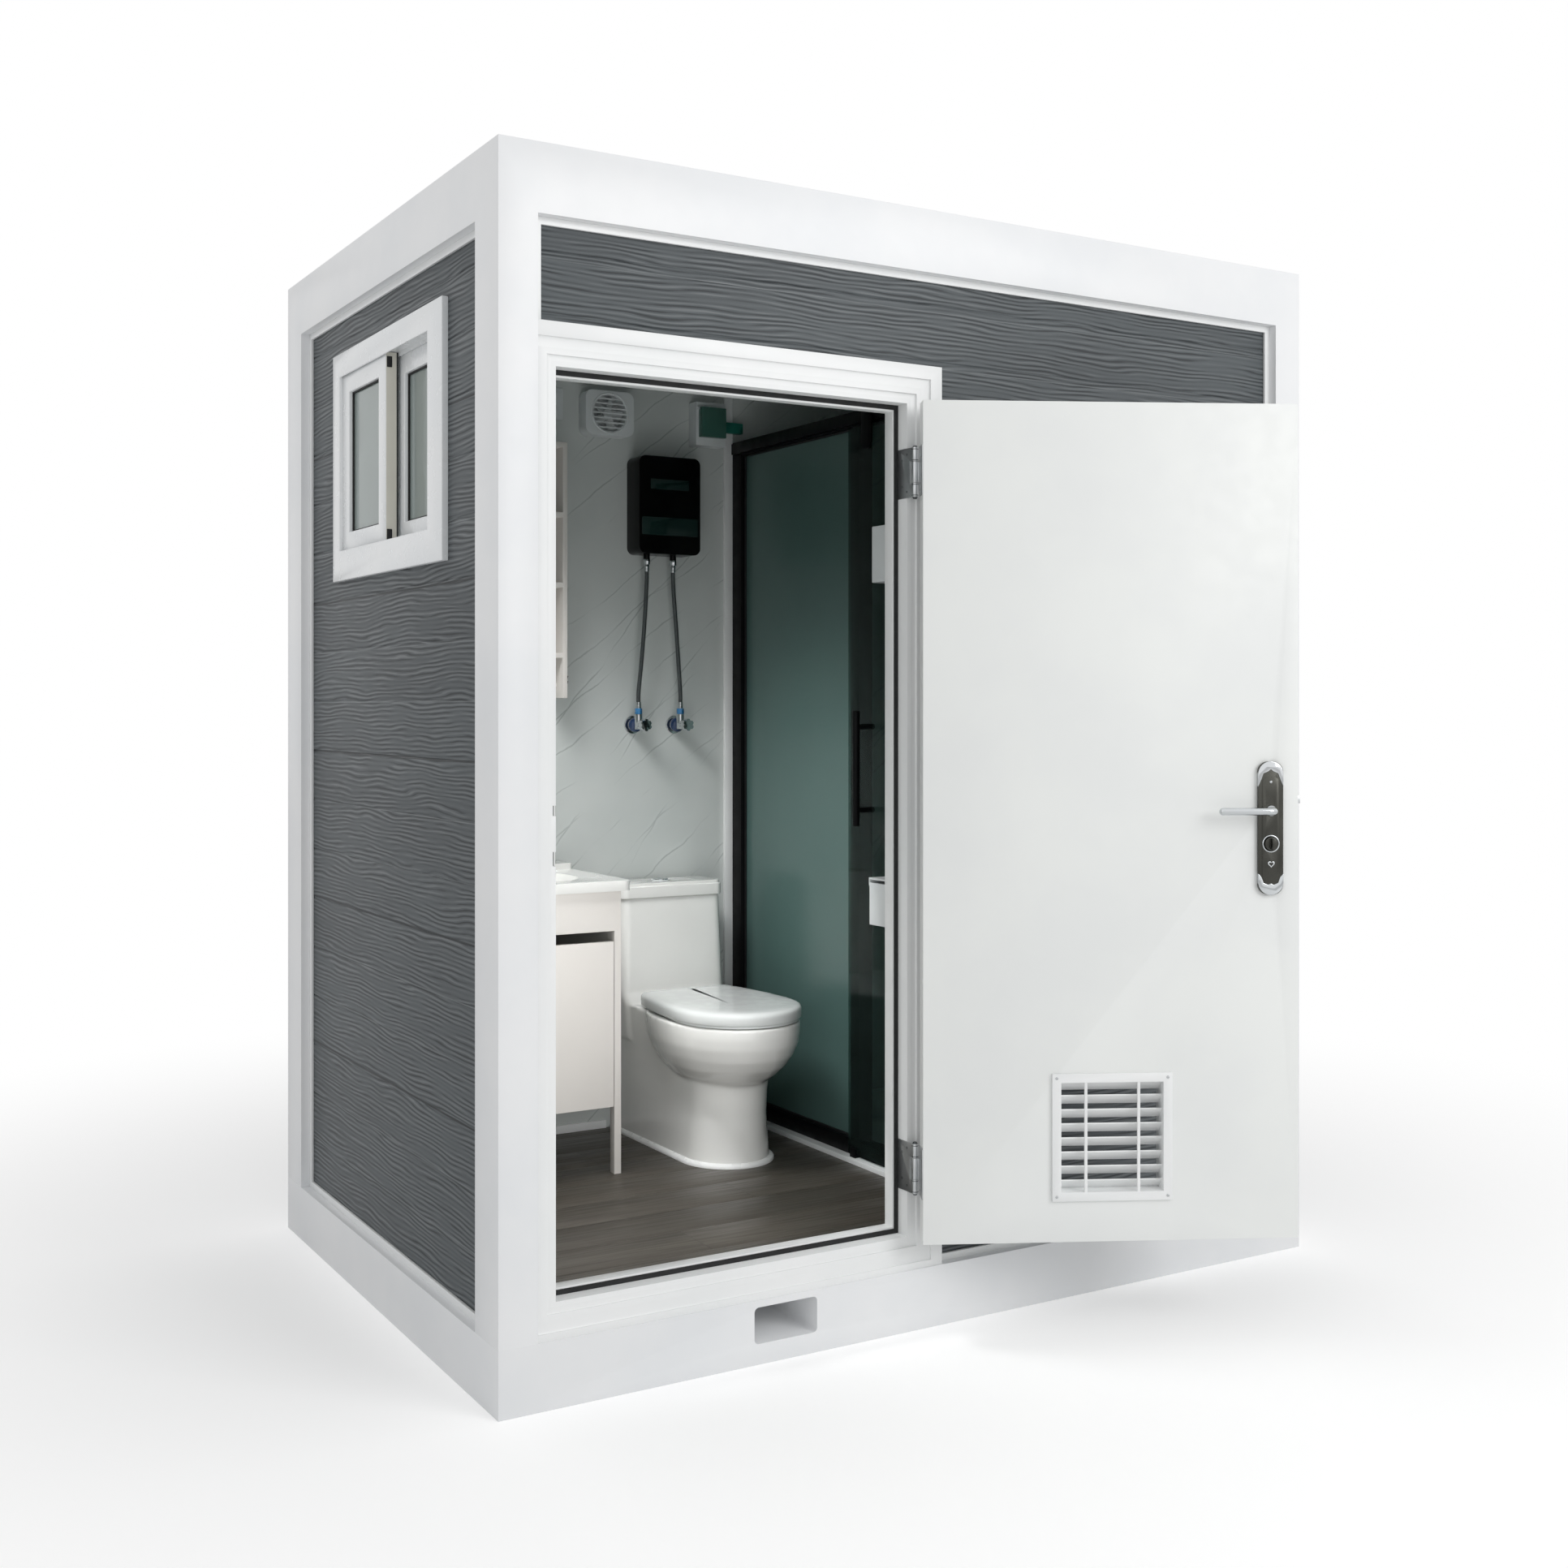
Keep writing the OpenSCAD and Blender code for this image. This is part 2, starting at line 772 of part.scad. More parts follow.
// Welded door frame: mitred stepped casing in front, flat stops behind it
module door_frame() {
    in_cabin() color(white) {
        difference() {
            intersection() {
                casing_ring();
                block([post_w, 0, base_beam_h], [casing_r + 1, core_in, casing_hi + 1]);
            }
            bolt_notch(latch_z, 20);
            bolt_notch(turn_z, 28);
        }
        block([post_w, stop_front, base_beam_h], [rebate_l + stop_w, core_in, casing_hi - behind]);
        block([rebate_r - stop_w, stop_front, base_beam_h], [casing_r - behind, core_in, casing_hi - behind]);
        for (z = [[base_beam_h, rebate_lo + stop_w], [rebate_hi - stop_w, casing_hi - behind]])
            block([rebate_l + stop_w, stop_front, z[0]], [rebate_r - stop_w, core_in, z[1]]);
    }
}

// Rubber seal on the front of the stops
module door_seal() {
    s = 4;
    in_cabin() color(black) plate_y(stop_front - seal_t, stop_front) difference() {
        translate([rebate_l, rebate_lo]) square([rebate_r - rebate_l, rebate_hi - rebate_lo]);
        translate([rebate_l + stop_w - s, rebate_lo + stop_w - s])
            square([rebate_r - rebate_l - 2 * (stop_w - s), rebate_hi - rebate_lo - 2 * (stop_w - s)]);
    }
}

// Hinge knuckles from below: frame, door, frame
knuckle_end = 30;
knuckle_gap = 0.5;

module frame_hinge_leaf(z) {
    lo = z - hinge_h / 2;
    hi = z + hinge_h / 2;
    rod_z(hinge_x, hinge_y, lo, lo + knuckle_end, knuckle_r);
    rod_z(hinge_x, hinge_y, hi - knuckle_end, hi, knuckle_r);
    rod_z(hinge_x, hinge_y, lo, hi, pin_r);
    difference() {
        block([rebate_r - plate_t, hinge_y, lo], [rebate_r, leaf_back - 2, hi]);
        block([rebate_r - plate_t - 1, hinge_y - 1, lo + knuckle_end - knuckle_gap],
            [rebate_r + 1, hinge_y + knuckle_r + 3, hi - knuckle_end + knuckle_gap]);
    }
}

module frame_hinge_leaves() {
    in_cabin() color(steel) for (z = [hinge_low, hinge_high]) frame_hinge_leaf(z);
}

// Everything on the leaf is drawn shut and turned open about the hinge axis
module on_door() {
    in_cabin() translate([hinge_x, hinge_y, 0]) rotate([0, 0, leaf_open])
        translate([-hinge_x, -hinge_y, 0]) children();
}

module door_hinge_leaf(z) {
    lo = z - hinge_h / 2;
    hi = z + hinge_h / 2;
    k0 = lo + knuckle_end + knuckle_gap;
    k1 = hi - knuckle_end - knuckle_gap;
    difference() {
        union() {
            rod_z(hinge_x, hinge_y, k0, k1, knuckle_r);
            block([leaf_right, hinge_y - 4, k0], [hinge_x - pin_r - 1, hinge_y + 4, k1]);
            block([leaf_right, hinge_y - 4, k0], [leaf_right + plate_t, leaf_front, k1]);
        }
        rod_z(hinge_x, hinge_y, k0 - 1, k1 + 1, pin_r + run_gap);
    }
    block([leaf_right, leaf_front, lo], [leaf_right + plate_t, leaf_back - 2, hi]);
}

module door_hinge_leaves() {
    on_door() color(steel) for (z = [hinge_low, hinge_high]) door_hinge_leaf(z);
}

// Louvre opening in the leaf
louvre_lap = 10;
louvre_x = (leaf_left + leaf_right) / 2;
louvre_lo = leaf_z + louvre_z;
vent_w = louvre_w - 2 * louvre_lap;
vent_h = louvre_h - 2 * louvre_lap;
case_l = 88;
case_t = 18;
case_z0 = plate_z - 95;
case_z1 = plate_z + 110;

module door_leaf() {
    on_door() color("#F3F4F3") difference() {
        block([leaf_left, leaf_front, leaf_z], [leaf_right, leaf_back, leaf_top]);
        block([louvre_x - vent_w / 2, -1, louvre_lo + louvre_lap],
            [louvre_x + vent_w / 2, leaf_back + 1, louvre_lo + louvre_lap + vent_h]);
        block([leaf_left - 1, leaf_mid - case_t / 2, case_z0],
            [leaf_left + case_l, leaf_mid + case_t / 2, case_z1]);
        rod_y(plate_x, leaf_front - 1, leaf_back + 1, lever_z, 12);
        rod_y(plate_x, leaf_front - 1, leaf_back + 1, turn_z, 10);
    }
}

// Outer and inner frames, sleeve, tilted blades and two upright bars
module door_louvre() {
    rim_t = 6;
    x0 = louvre_x - louvre_w / 2;
    pitch = (vent_h - 10) / blade_count;
    on_door() color(white) {
        for (y = [leaf_front - rim_t, leaf_back])
            plate_y(y, y + rim_t) difference() {
                translate([x0, louvre_lo]) square([louvre_w, louvre_h]);
                translate([x0 + louvre_rim, louvre_lo + louvre_rim])
                    square([louvre_w - 2 * louvre_rim, louvre_h - 2 * louvre_rim]);
            }
        plate_y(leaf_front, leaf_back) difference() {
            translate([x0 + louvre_lap, louvre_lo + louvre_lap]) square([vent_w, vent_h]);
            translate([x0 + louvre_rim, louvre_lo + louvre_rim])
                square([louvre_w - 2 * louvre_rim, louvre_h - 2 * louvre_rim]);
        }
        for (i = [0 : blade_count - 1])
            translate([x0 + louvre_rim - 2, leaf_mid, louvre_lo + louvre_lap + 5 + (i + 0.5) * pitch])
                rotate([40, 0, 0]) translate([0, -17, -blade_t / 2])
                    cube([louvre_w - 2 * louvre_rim + 4, 34, blade_t]);
        for (x = [-0.22, 0.22])
            block([louvre_x + x * louvre_w - 3, leaf_back, louvre_lo + louvre_rim - 1],
                [louvre_x + x * louvre_w + 3, leaf_back + 5, louvre_lo + louvre_h - louvre_rim + 1]);
    }
}

module lock_outline() {
    translate([plate_x - plate_w / 2, plate_z - plate_h / 2]) round_rect(plate_w, plate_h, plate_w / 2 - 4);
}

// Two face plates and the lock case between them
module lock_plates() {
    wall = 2;
    on_door() color("#4A4D50") {
        for (y = [leaf_front - lock_t, leaf_back])
            difference() {
                plate_y(y, y + lock_t) lock_outline();
                rod_y(plate_x, y - 1, y + lock_t + 1, lever_z, 9 + run_gap);
                rod_y(plate_x, y - 1, y + lock_t + 1, turn_z, 6 + run_gap);
            }
        difference() {
            block([leaf_left, leaf_mid - case_t / 2 + 0.2, case_z0 + 0.2],
                [leaf_left + case_l - 0.2, leaf_mid + case_t / 2 - 0.2, case_z1 - 0.2]);
            block([leaf_left + wall, leaf_mid - case_t / 2 + wall, case_z0 + wall],
                [leaf_left + case_l - wall, leaf_mid + case_t / 2 - wall, case_z1 - wall]);
            bolt_block(latch_z, 16, 1, 1, 0.3);
            bolt_block(turn_z, 24, 1, 1, 0.3);
            rod_y(plate_x, leaf_front, leaf_back, lever_z, 8);
            rod_y(plate_x, leaf_front, leaf_back, turn_z, 8);
        }
    }
}

// Straight bolt through the free edge of the leaf
module bolt_block(z, h, out, back, gap) {
    t = 10;
    block([leaf_left - out, leaf_mid - t / 2 - gap, z - h / 2 - gap],
        [leaf_left + back + 3, leaf_mid + t / 2 + gap, z + h / 2 + gap]);
}

// Grip that starts at the plate, stands off and turns towards the hinges
module lever_side(y0, way) {
    neck = lever_off - lever_r;
    tip = plate_x + lever_l;
    rod_y(plate_x, min(y0, y0 + way * neck), max(y0, y0 + way * neck), lever_z, 9);
    translate([plate_x, y0 + way * neck, lever_z]) sphere(9);
    rod_x(plate_x, tip, y0 + way * neck, lever_z, lever_r);
    translate([tip, y0 + way * neck, lever_z]) sphere(lever_r);
}

module lever_handle() {
    on_door() color(chrome) {
        lever_side(leaf_back, 1);
        lever_side(leaf_front, -1);
        rod_y(plate_x, leaf_front, leaf_back, lever_z, 6);
    }
}

module latch_bolt() {
    on_door() color(steel) bolt_block(latch_z, 16, latch_throw, 40, 0);
}

module dead_bolt() {
    on_door() color(steel) bolt_block(turn_z, 24, 0, 34, 0);
}

module thumb_turn() {
    on_door() color(chrome) {
        rod_y(plate_x, leaf_front - lock_t - 3, leaf_back + lock_t + 3, turn_z, 6);
        rod_y(plate_x, leaf_back + lock_t + 0.5, leaf_back + lock_t + 6, turn_z, 14);
        block([plate_x - 3, leaf_back + lock_t + 5, turn_z - 12],
            [plate_x + 3, leaf_back + lock_t + 22, turn_z + 12]);
        rod_y(plate_x, leaf_front - lock_t - 5, leaf_front - lock_t - 0.5, turn_z, 12);
    }
}

// Fixed window frame: casing flange, box members and track ribs.
// Here x is the cabin depth direction and y goes inward, as on every wall.
module window_frame() {
    face = clad_depth - win_proud;
    in_cabin() left_wall() color(white) {
        x0 = win_y;
        x1 = win_y + win_w;
        z0 = win_lo;
        z1 = win_lo + win_h;
        // Casing faces
        block([x0, face, z0], [x1, clad_depth, open_lo]);
        block([x0, face, open_hi], [x1, clad_depth, z1]);
        block([x0, face, open_lo], [open_f, clad_depth, open_hi]);
        block([open_r, face, open_lo], [x1, clad_depth, open_hi]);
        // Box members through the wall
        block([open_f - win_box, clad_depth, open_lo - win_box], [open_r + win_box, win_in, open_lo]);
        block([open_f - win_box, clad_depth, open_hi], [open_r + win_box, win_in, open_hi + win_box]);
        block([open_f - win_box, clad_depth, open_lo], [open_f, win_in, open_hi]);
        block([open_r, clad_depth, open_lo], [open_r + win_box, win_in, open_hi]);
        // Track ribs below and above, in front of, between and behind the sashes
        for (y = [outer_x + sash_t + slide_gap, face], z = [open_lo, open_hi - 9])
            block([open_f, y, z], [open_r, y + track_w, z + 9]);
        for (z = [open_lo, open_hi - 9])
            block([open_f - 10, win_in, z - (z == open_lo ? 10 : 0)],
                [open_r + 10, win_in + 4, z + (z == open_lo ? 9 : 19)]);
    }
}

// Sash frame of four members with its pane rebate left open
module sash_frame(x0, y0) {
    z0 = open_lo + slide_gap;
    z1 = open_hi - slide_gap;
    plate_y(y0, y0 + sash_t) difference() {
        translate([x0, z0]) square([sash_w, z1 - z0]);
        translate([x0 + sash_rim, z0 + sash_rim]) square([sash_w - 2 * sash_rim, z1 - z0 - 2 * sash_rim]);
    }
}

module sash_pane(x0, y0) {
    z0 = open_lo + slide_gap + sash_rim;
    z1 = open_hi - slide_gap - sash_rim;
    mid = y0 + sash_t / 2;
    block([x0 + sash_rim, mid - glass_t / 2, z0], [x0 + sash_w - sash_rim, mid + glass_t / 2, z1]);
}

module outer_sash() {
    in_cabin() left_wall() color(white) sash_frame(open_r - slide_gap - sash_w, outer_x);
}

module outer_pane() {
    in_cabin() left_wall() color(glass_tint) sash_pane(open_r - slide_gap - sash_w, outer_x);
}

module inner_sash() {
    in_cabin() left_wall() color(white) sash_frame(open_f + slide_gap, inner_x);
}

module inner_pane() {
    in_cabin() left_wall() color(glass_tint) sash_pane(open_f + slide_gap, inner_x);
}

// Egg outline in plan: round front, straight sides running to a flat back
function egg(hw, y_tip, y_back, half) = let (mid = y_tip + hw * 1.12) concat(
    [for (i = [0 : 20]) let (a = 180 + i * 9) [pan_x + hw * cos(a), mid + (mid - y_tip) * sin(a)]],
    [[pan_x + half, y_back], [pan_x - half, y_back]]);

module slice(z, points) {
    translate([0, 0, z]) linear_extrude(0.5) polygon(points);
}

// Height above the floor, half width, setback of the tip, half width at the back
pan_rings = [[15, 112, 116, 118], [140, 105, 124, 122], [200, 118, 106, 130], [255, 150, 54, 138],
    [325, 171, 9, 145], [rim_h - 0.5, 173, 2, 146]];
bowl_rings = [[rim_h - 170, 45, 190, 40], [rim_h - 120, 82, 130, 70], [rim_h - 50, 116, 72, 90],
    [rim_h + 1, 122, 60, 95]];

module pan_slice(r, back) {
    k = pan_half / 174;
    slice(floor_z + r[0], egg(r[1] * k, tip_y + r[2], back, r[3] * k));
}

// Tank section at a height
module tank_slice(z, w, y0, r) {
    translate([pan_x - w / 2, y0, z]) linear_extrude(0.5) round_rect(w, pan_y - y0, r);
}

tank_front = pan_y - tank_d;

seat_pin_r = 4;
hinge_post = 47;

module toilet_pan() {
    in_cabin() color(ceramic) difference() {
        union() {
            translate([0, 0, floor_z]) linear_extrude(15) polygon(egg(120, tip_y + 108, pan_y, 124));
            for (i = [0 : 2])
                hull() {
                    pan_slice(pan_rings[i], pan_y);
                    pan_slice(pan_rings[i + 1], pan_y);
                }
            hull() for (i = [3 : 5]) pan_slice(pan_rings[i], pan_y);
            hull() {
                tank_slice(rim_z - 60, tank_w - 8, tank_front - 30, 24);
                tank_slice(rim_z + 24, tank_w + 16, tank_front - 12, 26);
            }
            hull() {
                tank_slice(rim_z + 24, tank_w + 16, tank_front - 12, 26);
                tank_slice(tank_z - 0.5, tank_w, tank_front, 22);
            }
            // Seat hinge posts and their pins
            for (s = [-1, 1]) {
                x = pan_x + s * hinge_post;
                block([x - 6, seat_axis_y - 6, rim_z - 2], [x + 6, seat_axis_y + 6, seat_axis_z]);
                rod_x(x - 6, x + 6, seat_axis_y, seat_axis_z, 6);
                rod_x(min(x, x + s * 53), max(x, x + s * 53), seat_axis_y, seat_axis_z, seat_pin_r);
            }
        }
        hull() for (r = bowl_rings) pan_slice(r, tip_y + 350);
        block([pan_x - tank_w / 2 + 14, tank_front + 14, rim_z + 40],
            [pan_x + tank_w / 2 - 14, pan_y - 14, tank_z + 1]);
        rod_z(pan_x, soil_y, floor_z - 1, floor_z + 16, soil_r + 3);
    }
}

button_r = 22;
button_mid_y = tank_front + tank_d / 2;

module cistern_lid() {
    over = 5;
    z1 = tank_z + tank_lid_t;
    in_cabin() color(ceramic) {
        difference() {
            union() {
                translate([pan_x - tank_w / 2 - over, tank_front - over, tank_z])
                    linear_extrude(tank_lid_t - 8) round_rect(tank_w + 2 * over, tank_d + over, 22);
                translate([pan_x - tank_w / 2 - over + 5, tank_front - over + 5, tank_z])
                    linear_extrude(tank_lid_t) round_rect(tank_w + 2 * over - 10, tank_d + over - 10, 18);
            }
            rod_z(pan_x, button_mid_y, tank_z - 1, z1 + 1, button_r + 4);
        }
    }
}

// Fill valve and flush valve inside the tank
module cistern_valves() {
    z0 = rim_z + 40;
    in_cabin() color("#C8CCD0") {
        rod_z(pan_x + 95, button_mid_y, z0, tank_z - 60, 14);
        rod_z(pan_x + 95, button_mid_y, tank_z - 60, tank_z - 20, 26);
        rod_z(pan_x, button_mid_y, z0, z0 + 60, 38);
        rod_z(pan_x, button_mid_y, z0 + 60, tank_z - 50, 24);
        difference() {
            rod_z(pan_x, button_mid_y, tank_z - 50, tank_z + tank_lid_t + 2, button_r + 4 - touch);
            rod_z(pan_x, button_mid_y, tank_z - 40, tank_z + tank_lid_t + 3, button_r);
        }
    }
}

// One half of the round flush plate
module button_half(side) {
    in_cabin() color(chrome) intersection() {
        rod_z(pan_x, button_mid_y, tank_z - 20, tank_z + tank_lid_t + 5, button_r - 0.4);
        translate([side > 0 ? pan_x + 0.4 : pan_x - button_r - 1, button_mid_y - button_r - 1, tank_z - 30])
            cube([button_r + 0.6, 2 * button_r + 2, 120]);
    }
}

module flush_button_full() {
    button_half(-1);
}

module flush_button_half() {
    button_half(1);
}

// Outline shared by seat and cover
function seat_points(inset) = egg(168 * pan_half / 174 - inset, tip_y + 4 + inset,
    seat_axis_y - 8 - inset / 3, 138 * pan_half / 174 - inset);

// Lug around a hinge pin, from x0 to x1, joined to the plate in front of it
module hinge_lug(x0, x1, z0) {
    difference() {
        hull() {
            rod_x(x0, x1, seat_axis_y, seat_axis_z, 7);
            block([x0, seat_axis_y - 16, z0], [x1, seat_axis_y - 9, z0 + 8]);
        }
        rod_x(x0 - 1, x1 + 1, seat_axis_y, seat_axis_z, seat_pin_r + run_gap);
    }
}

lug_in = 54;
lug_w = 24;

module toilet_seat() {
    in_cabin() color(ceramic) {
        difference() {
            translate([0, 0, seat_z]) linear_extrude(seat_t) polygon(seat_points(6));
            translate([0, 0, seat_z - 1]) linear_extrude(seat_t + 2)
                polygon(egg(112, tip_y + 62, tip_y + 350, 75));
        }
        for (x = [pan_x - lug_in - lug_w, pan_x + lug_in]) hinge_lug(x, x + lug_w, seat_z + 2);
    }
}

// Domed cover that wraps over the seat, with its own lugs outside those of the seat
module toilet_cover() {
    out = lug_in + lug_w + 0.5;
    in_cabin() color(ceramic) {
        difference() {
            hull() {
                translate([0, 0, cover_lo]) linear_extrude(15) polygon(seat_points(0));
                translate([0, 0, cover_lo]) linear_extrude(cover_z - cover_lo + 17) polygon(seat_points(7));
                translate([0, 0, cover_lo]) linear_extrude(cover_z - cover_lo + cover_t)
                    polygon(seat_points(30));
            }
            translate([0, 0, cover_lo - 1]) linear_extrude(cover_z - cover_lo + 1) polygon(concat(
                egg(164 * pan_half / 174, tip_y + 8, seat_axis_y, 134 * pan_half / 174)));
            for (s = [-1, 1]) {
                x = pan_x + s * (lug_in + lug_w / 2);
                block([x - lug_w / 2 - 1, seat_axis_y - 18, cover_z - 2],
                    [x + lug_w / 2 + 0.4, seat_axis_y, cover_z + cover_t + 1]);
            }
        }
        for (x = [pan_x - out - 20, pan_x + out]) hinge_lug(x, x + 20, cover_z + 1);
    }
}

// Hollow pipe standing upright
module pipe_z(x, y, z0, z1, r, wall) {
    difference() {
        rod_z(x, y, z0, z1, r);
        rod_z(x, y, z0 - 1, z1 + 1, r - wall);
    }
}

// Pipe whose end under the floor has its full radius for a coupling
module floor_pipe(x, y, z1, r, wall) {
    stub_hi = base_beam_h - 10;
    difference() {
        union() {
            rod_z(x, y, pipe_lo, stub_hi, r);
            rod_z(x, y, stub_hi - 1, z1, r - 1);
        }
        rod_z(x, y, pipe_lo - 1, z1 + 1, r - wall);
    }
}

module plumbing_pipes() {
    trap_z = floor_z + 330;
    in_cabin() color("#D5D8DA") {
        floor_pipe(pan_x, soil_y, floor_z + 14, soil_r, 4);
        floor_pipe(drain_x, drain_y, kerb_z - 10, grey_r, 3.5);
        floor_pipe(bowl_x, bowl_y, trap_z, waste_r, 3);
        rod_z(bowl_x, bowl_y, trap_z, trap_z + 110, 30);
        pipe_z(bowl_x, bowl_y, trap_z + 110, top_z - bowl_deep - bowl_wall, waste_r - 1, 2);
        rear_wall() difference() {
            union() {
                rod_y(inlet_x, 4, inlet_out, inlet_z, inlet_r);
                rod_y(inlet_x, inlet_out - 1, core_in, inlet_z, inlet_r - 1);
            }
            rod_y(inlet_x, 3, core_in - 4, inlet_z, inlet_r - 4);
        }
    }
}

door_t = 16;
front_gap = 2;
pivot_in = 4;
pivot_r = 2;
pivot_deep = 10;
vanity_pivot_x = vanity_l + board_t + front_gap + pivot_in;

// Cabinet of separate boards with an open finger slot above the door
module vanity_cabinet() {
    in_cabin() color(white) {
        for (x = [vanity_l, vanity_r - board_t]) {
            block([x, vanity_y, carcass_lo], [x + board_t, in_b - touch, carcass_z]);
            for (y = [vanity_y, in_b - touch - leg_w])
                block([x, y, floor_z], [x + board_t, y + leg_w, carcass_lo]);
        }
        block([vanity_l + board_t, vanity_y, apron_z], [vanity_r - board_t, vanity_y + door_t, carcass_z]);
        difference() {
            block([vanity_l + board_t, vanity_y + door_t + front_gap, carcass_lo],
                [vanity_r - board_t, in_b - touch, carcass_lo + board_t]);
            rod_z(bowl_x, bowl_y, 0, carcass_z, waste_r + 2);
        }
        block([vanity_l + board_t, in_b - touch - board_t, carcass_z - apron_h],
            [vanity_r - board_t, in_b - touch, carcass_z]);
        // Pivot plates with a pin above and below the door
        for (z = [carcass_lo - 3, door_hi + 0.5])
            block([vanity_l + board_t, vanity_y + 1, z], [vanity_pivot_x + 6, vanity_y + 10, z + 3.5]);
        for (z = [carcass_lo, door_hi - pivot_deep])
            rod_z(vanity_pivot_x, vanity_y + pivot_in, z, z + pivot_deep + 1, pivot_r);
    }
}

module vanity_door() {
    in_cabin() color(white) difference() {
        block([vanity_l + board_t + front_gap, vanity_y, carcass_lo + 1],
            [vanity_r - board_t - front_gap, vanity_y + door_t, door_hi]);
        for (z = [carcass_lo, door_hi - pivot_deep - 1])
            rod_z(vanity_pivot_x, vanity_y + pivot_in, z, z + pivot_deep + 2, pivot_r + run_gap);
    }
}

// Rounded disc or box slices used for the basin bowl
bowl_w = 400;
bowl_d = 270;
bowl_wall = 8;

module bowl_slice(z, inset) {
    translate([bowl_x - bowl_w / 2 + inset, bowl_y - bowl_d / 2 + inset, z]) linear_extrude(0.5)
        round_rect(bowl_w - 2 * inset, bowl_d - 2 * inset, 110 - inset / 2);
}

module bowl_form(grow, top, bottom) {
    hull() {
        bowl_slice(top, -grow);
        bowl_slice(top - 50, 18 - grow);
        bowl_slice(bottom, 60 - grow);
    }
}

module basin_top() {
    deck_y = in_b - 105;
    lo = top_z - bowl_deep;
    in_cabin() color(ceramic) difference() {
        union() {
            translate([vanity_l, basin_y, carcass_z])
                linear_extrude(basin_t) round_rect(vanity_w + basin_over, in_b - touch - basin_y, 22);
            translate([vanity_l, deck_y, top_z - 1])
                linear_extrude(tap_deck_h + 1) round_rect(vanity_w + basin_over, in_b - touch - deck_y, 12);
            bowl_form(bowl_wall, carcass_z, lo - bowl_wall);
        }
        bowl_form(0, top_z + 1, lo);
        rod_z(bowl_x, bowl_y, lo - 20, lo + 20, waste_r);
    }
}

spout_z = tap_z + 105;

spout_turn = -40;

// Slim column with a round head and a flat spout turned towards the bowl
module tap_body() {
    in_cabin() color(chrome) {
        rod_z(tap_x, tap_y, tap_z, tap_z + 8, 26);
        rod_z(tap_x, tap_y, tap_z + 8, spout_z - 16, 13);
        rod_z(tap_x, tap_y, spout_z - 16, spout_z + 12, 23);
        rod_z(tap_x, tap_y, spout_z + 12, spout_z + 24, 6);
        translate([tap_x, tap_y, 0]) rotate([0, 0, spout_turn]) difference() {
            block([-13, -150, spout_z - 11], [13, 0, spout_z + 7]);
            rod_z(0, -134, spout_z - 20, spout_z, 7);
        }
    }
}

module tap_lever() {
    z0 = spout_z + 12 + touch;
    in_cabin() color(chrome) difference() {
        union() {
            rod_z(tap_x, tap_y, z0, z0 + 14, 11);
            rod_z(tap_x, tap_y, z0 + 13, z0 + 20, 22);
            translate([tap_x, tap_y, z0]) rotate([0, 0, spout_turn]) block([-9, -90, 14], [9, 2, 18.5]);
        }
        rod_z(tap_x, tap_y, z0 - 1, z0 + 12, 6 + run_gap);
    }
}

function shelf_at(k) = mirror_hi - shelf_t - k * shelf_pitch;

// Closed compartment on the left, open shelves on the right and a towel peg below
module mirror_cabinet() {
    back = in_b - touch;
    lo = shelf_at(3);
    body_y = mirror_y + door_t + front_gap;
    in_cabin() color(white) {
        block([mirror_l, body_y, lo], [mirror_l + shelf_t, back, mirror_hi]);
        block([shelf_l, mirror_y, lo], [shelf_l + shelf_t, back, mirror_hi]);
        block([mirror_r - shelf_t, mirror_y, mirror_lo], [mirror_r, back, mirror_hi]);
        for (z = [lo, mirror_hi - shelf_t])
            block([mirror_l + shelf_t, body_y, z], [shelf_l, back, z + shelf_t]);
        for (k = [0 : 3])
            block([shelf_l + shelf_t, mirror_y, shelf_at(k)],
                [mirror_r - shelf_t, back, shelf_at(k) + shelf_t]);
        block([mirror_l + shelf_t, back - 6, lo + shelf_t], [shelf_l, back, mirror_hi - shelf_t]);
        block([shelf_l + shelf_t, back - 6, mirror_lo], [mirror_r - shelf_t, back, mirror_hi - shelf_t]);
        rod_x(mirror_r - shelf_t - 30, mirror_r - shelf_t, mirror_y + 50, mirror_lo + 34, 7);
        // Pivot plates with a pin above and below the mirror door
        for (z = [lo - 3, mirror_hi])
            block([mirror_l, mirror_y + 1, z], [mirror_l + shelf_t, body_y + 20, z + 3]);
        for (z = [lo - 1, mirror_hi - pivot_deep])
            rod_z(mirror_l + pivot_in, mirror_y + pivot_in, z, z + pivot_deep + 1, pivot_r);
    }
}

module mirror_door() {
    play = 0.6;
    in_cabin() color("#AEB6BA") difference() {
        block([mirror_l, mirror_y, shelf_at(3) + play],
            [shelf_l - front_gap, mirror_y + door_t, mirror_hi - play]);
        for (z = [shelf_at(3), mirror_hi - pivot_deep - 1])
            rod_z(mirror_l + pivot_in, mirror_y + pivot_in, z, z + pivot_deep + 1, pivot_r + run_gap);
    }
}

// Case cover, open towards the wall
module heater_case() {
    wall = 3;
    in_cabin() color(black) {
        difference() {
            plate_y(heater_y, in_b - touch) translate([heater_x, heater_lo])
                round_rect(heater_w, heater_h, heater_r);
            plate_y(heater_y + wall, in_b) translate([heater_x + wall, heater_lo + wall])
                round_rect(heater_w - 2 * wall, heater_h - 2 * wall, heater_r - wall);
        }
        for (s = [-0.5, 0.5])
            rod_z(port_mid + s * port_gap, port_y, heater_lo - 14, heater_lo + 20, 9);
    }
}

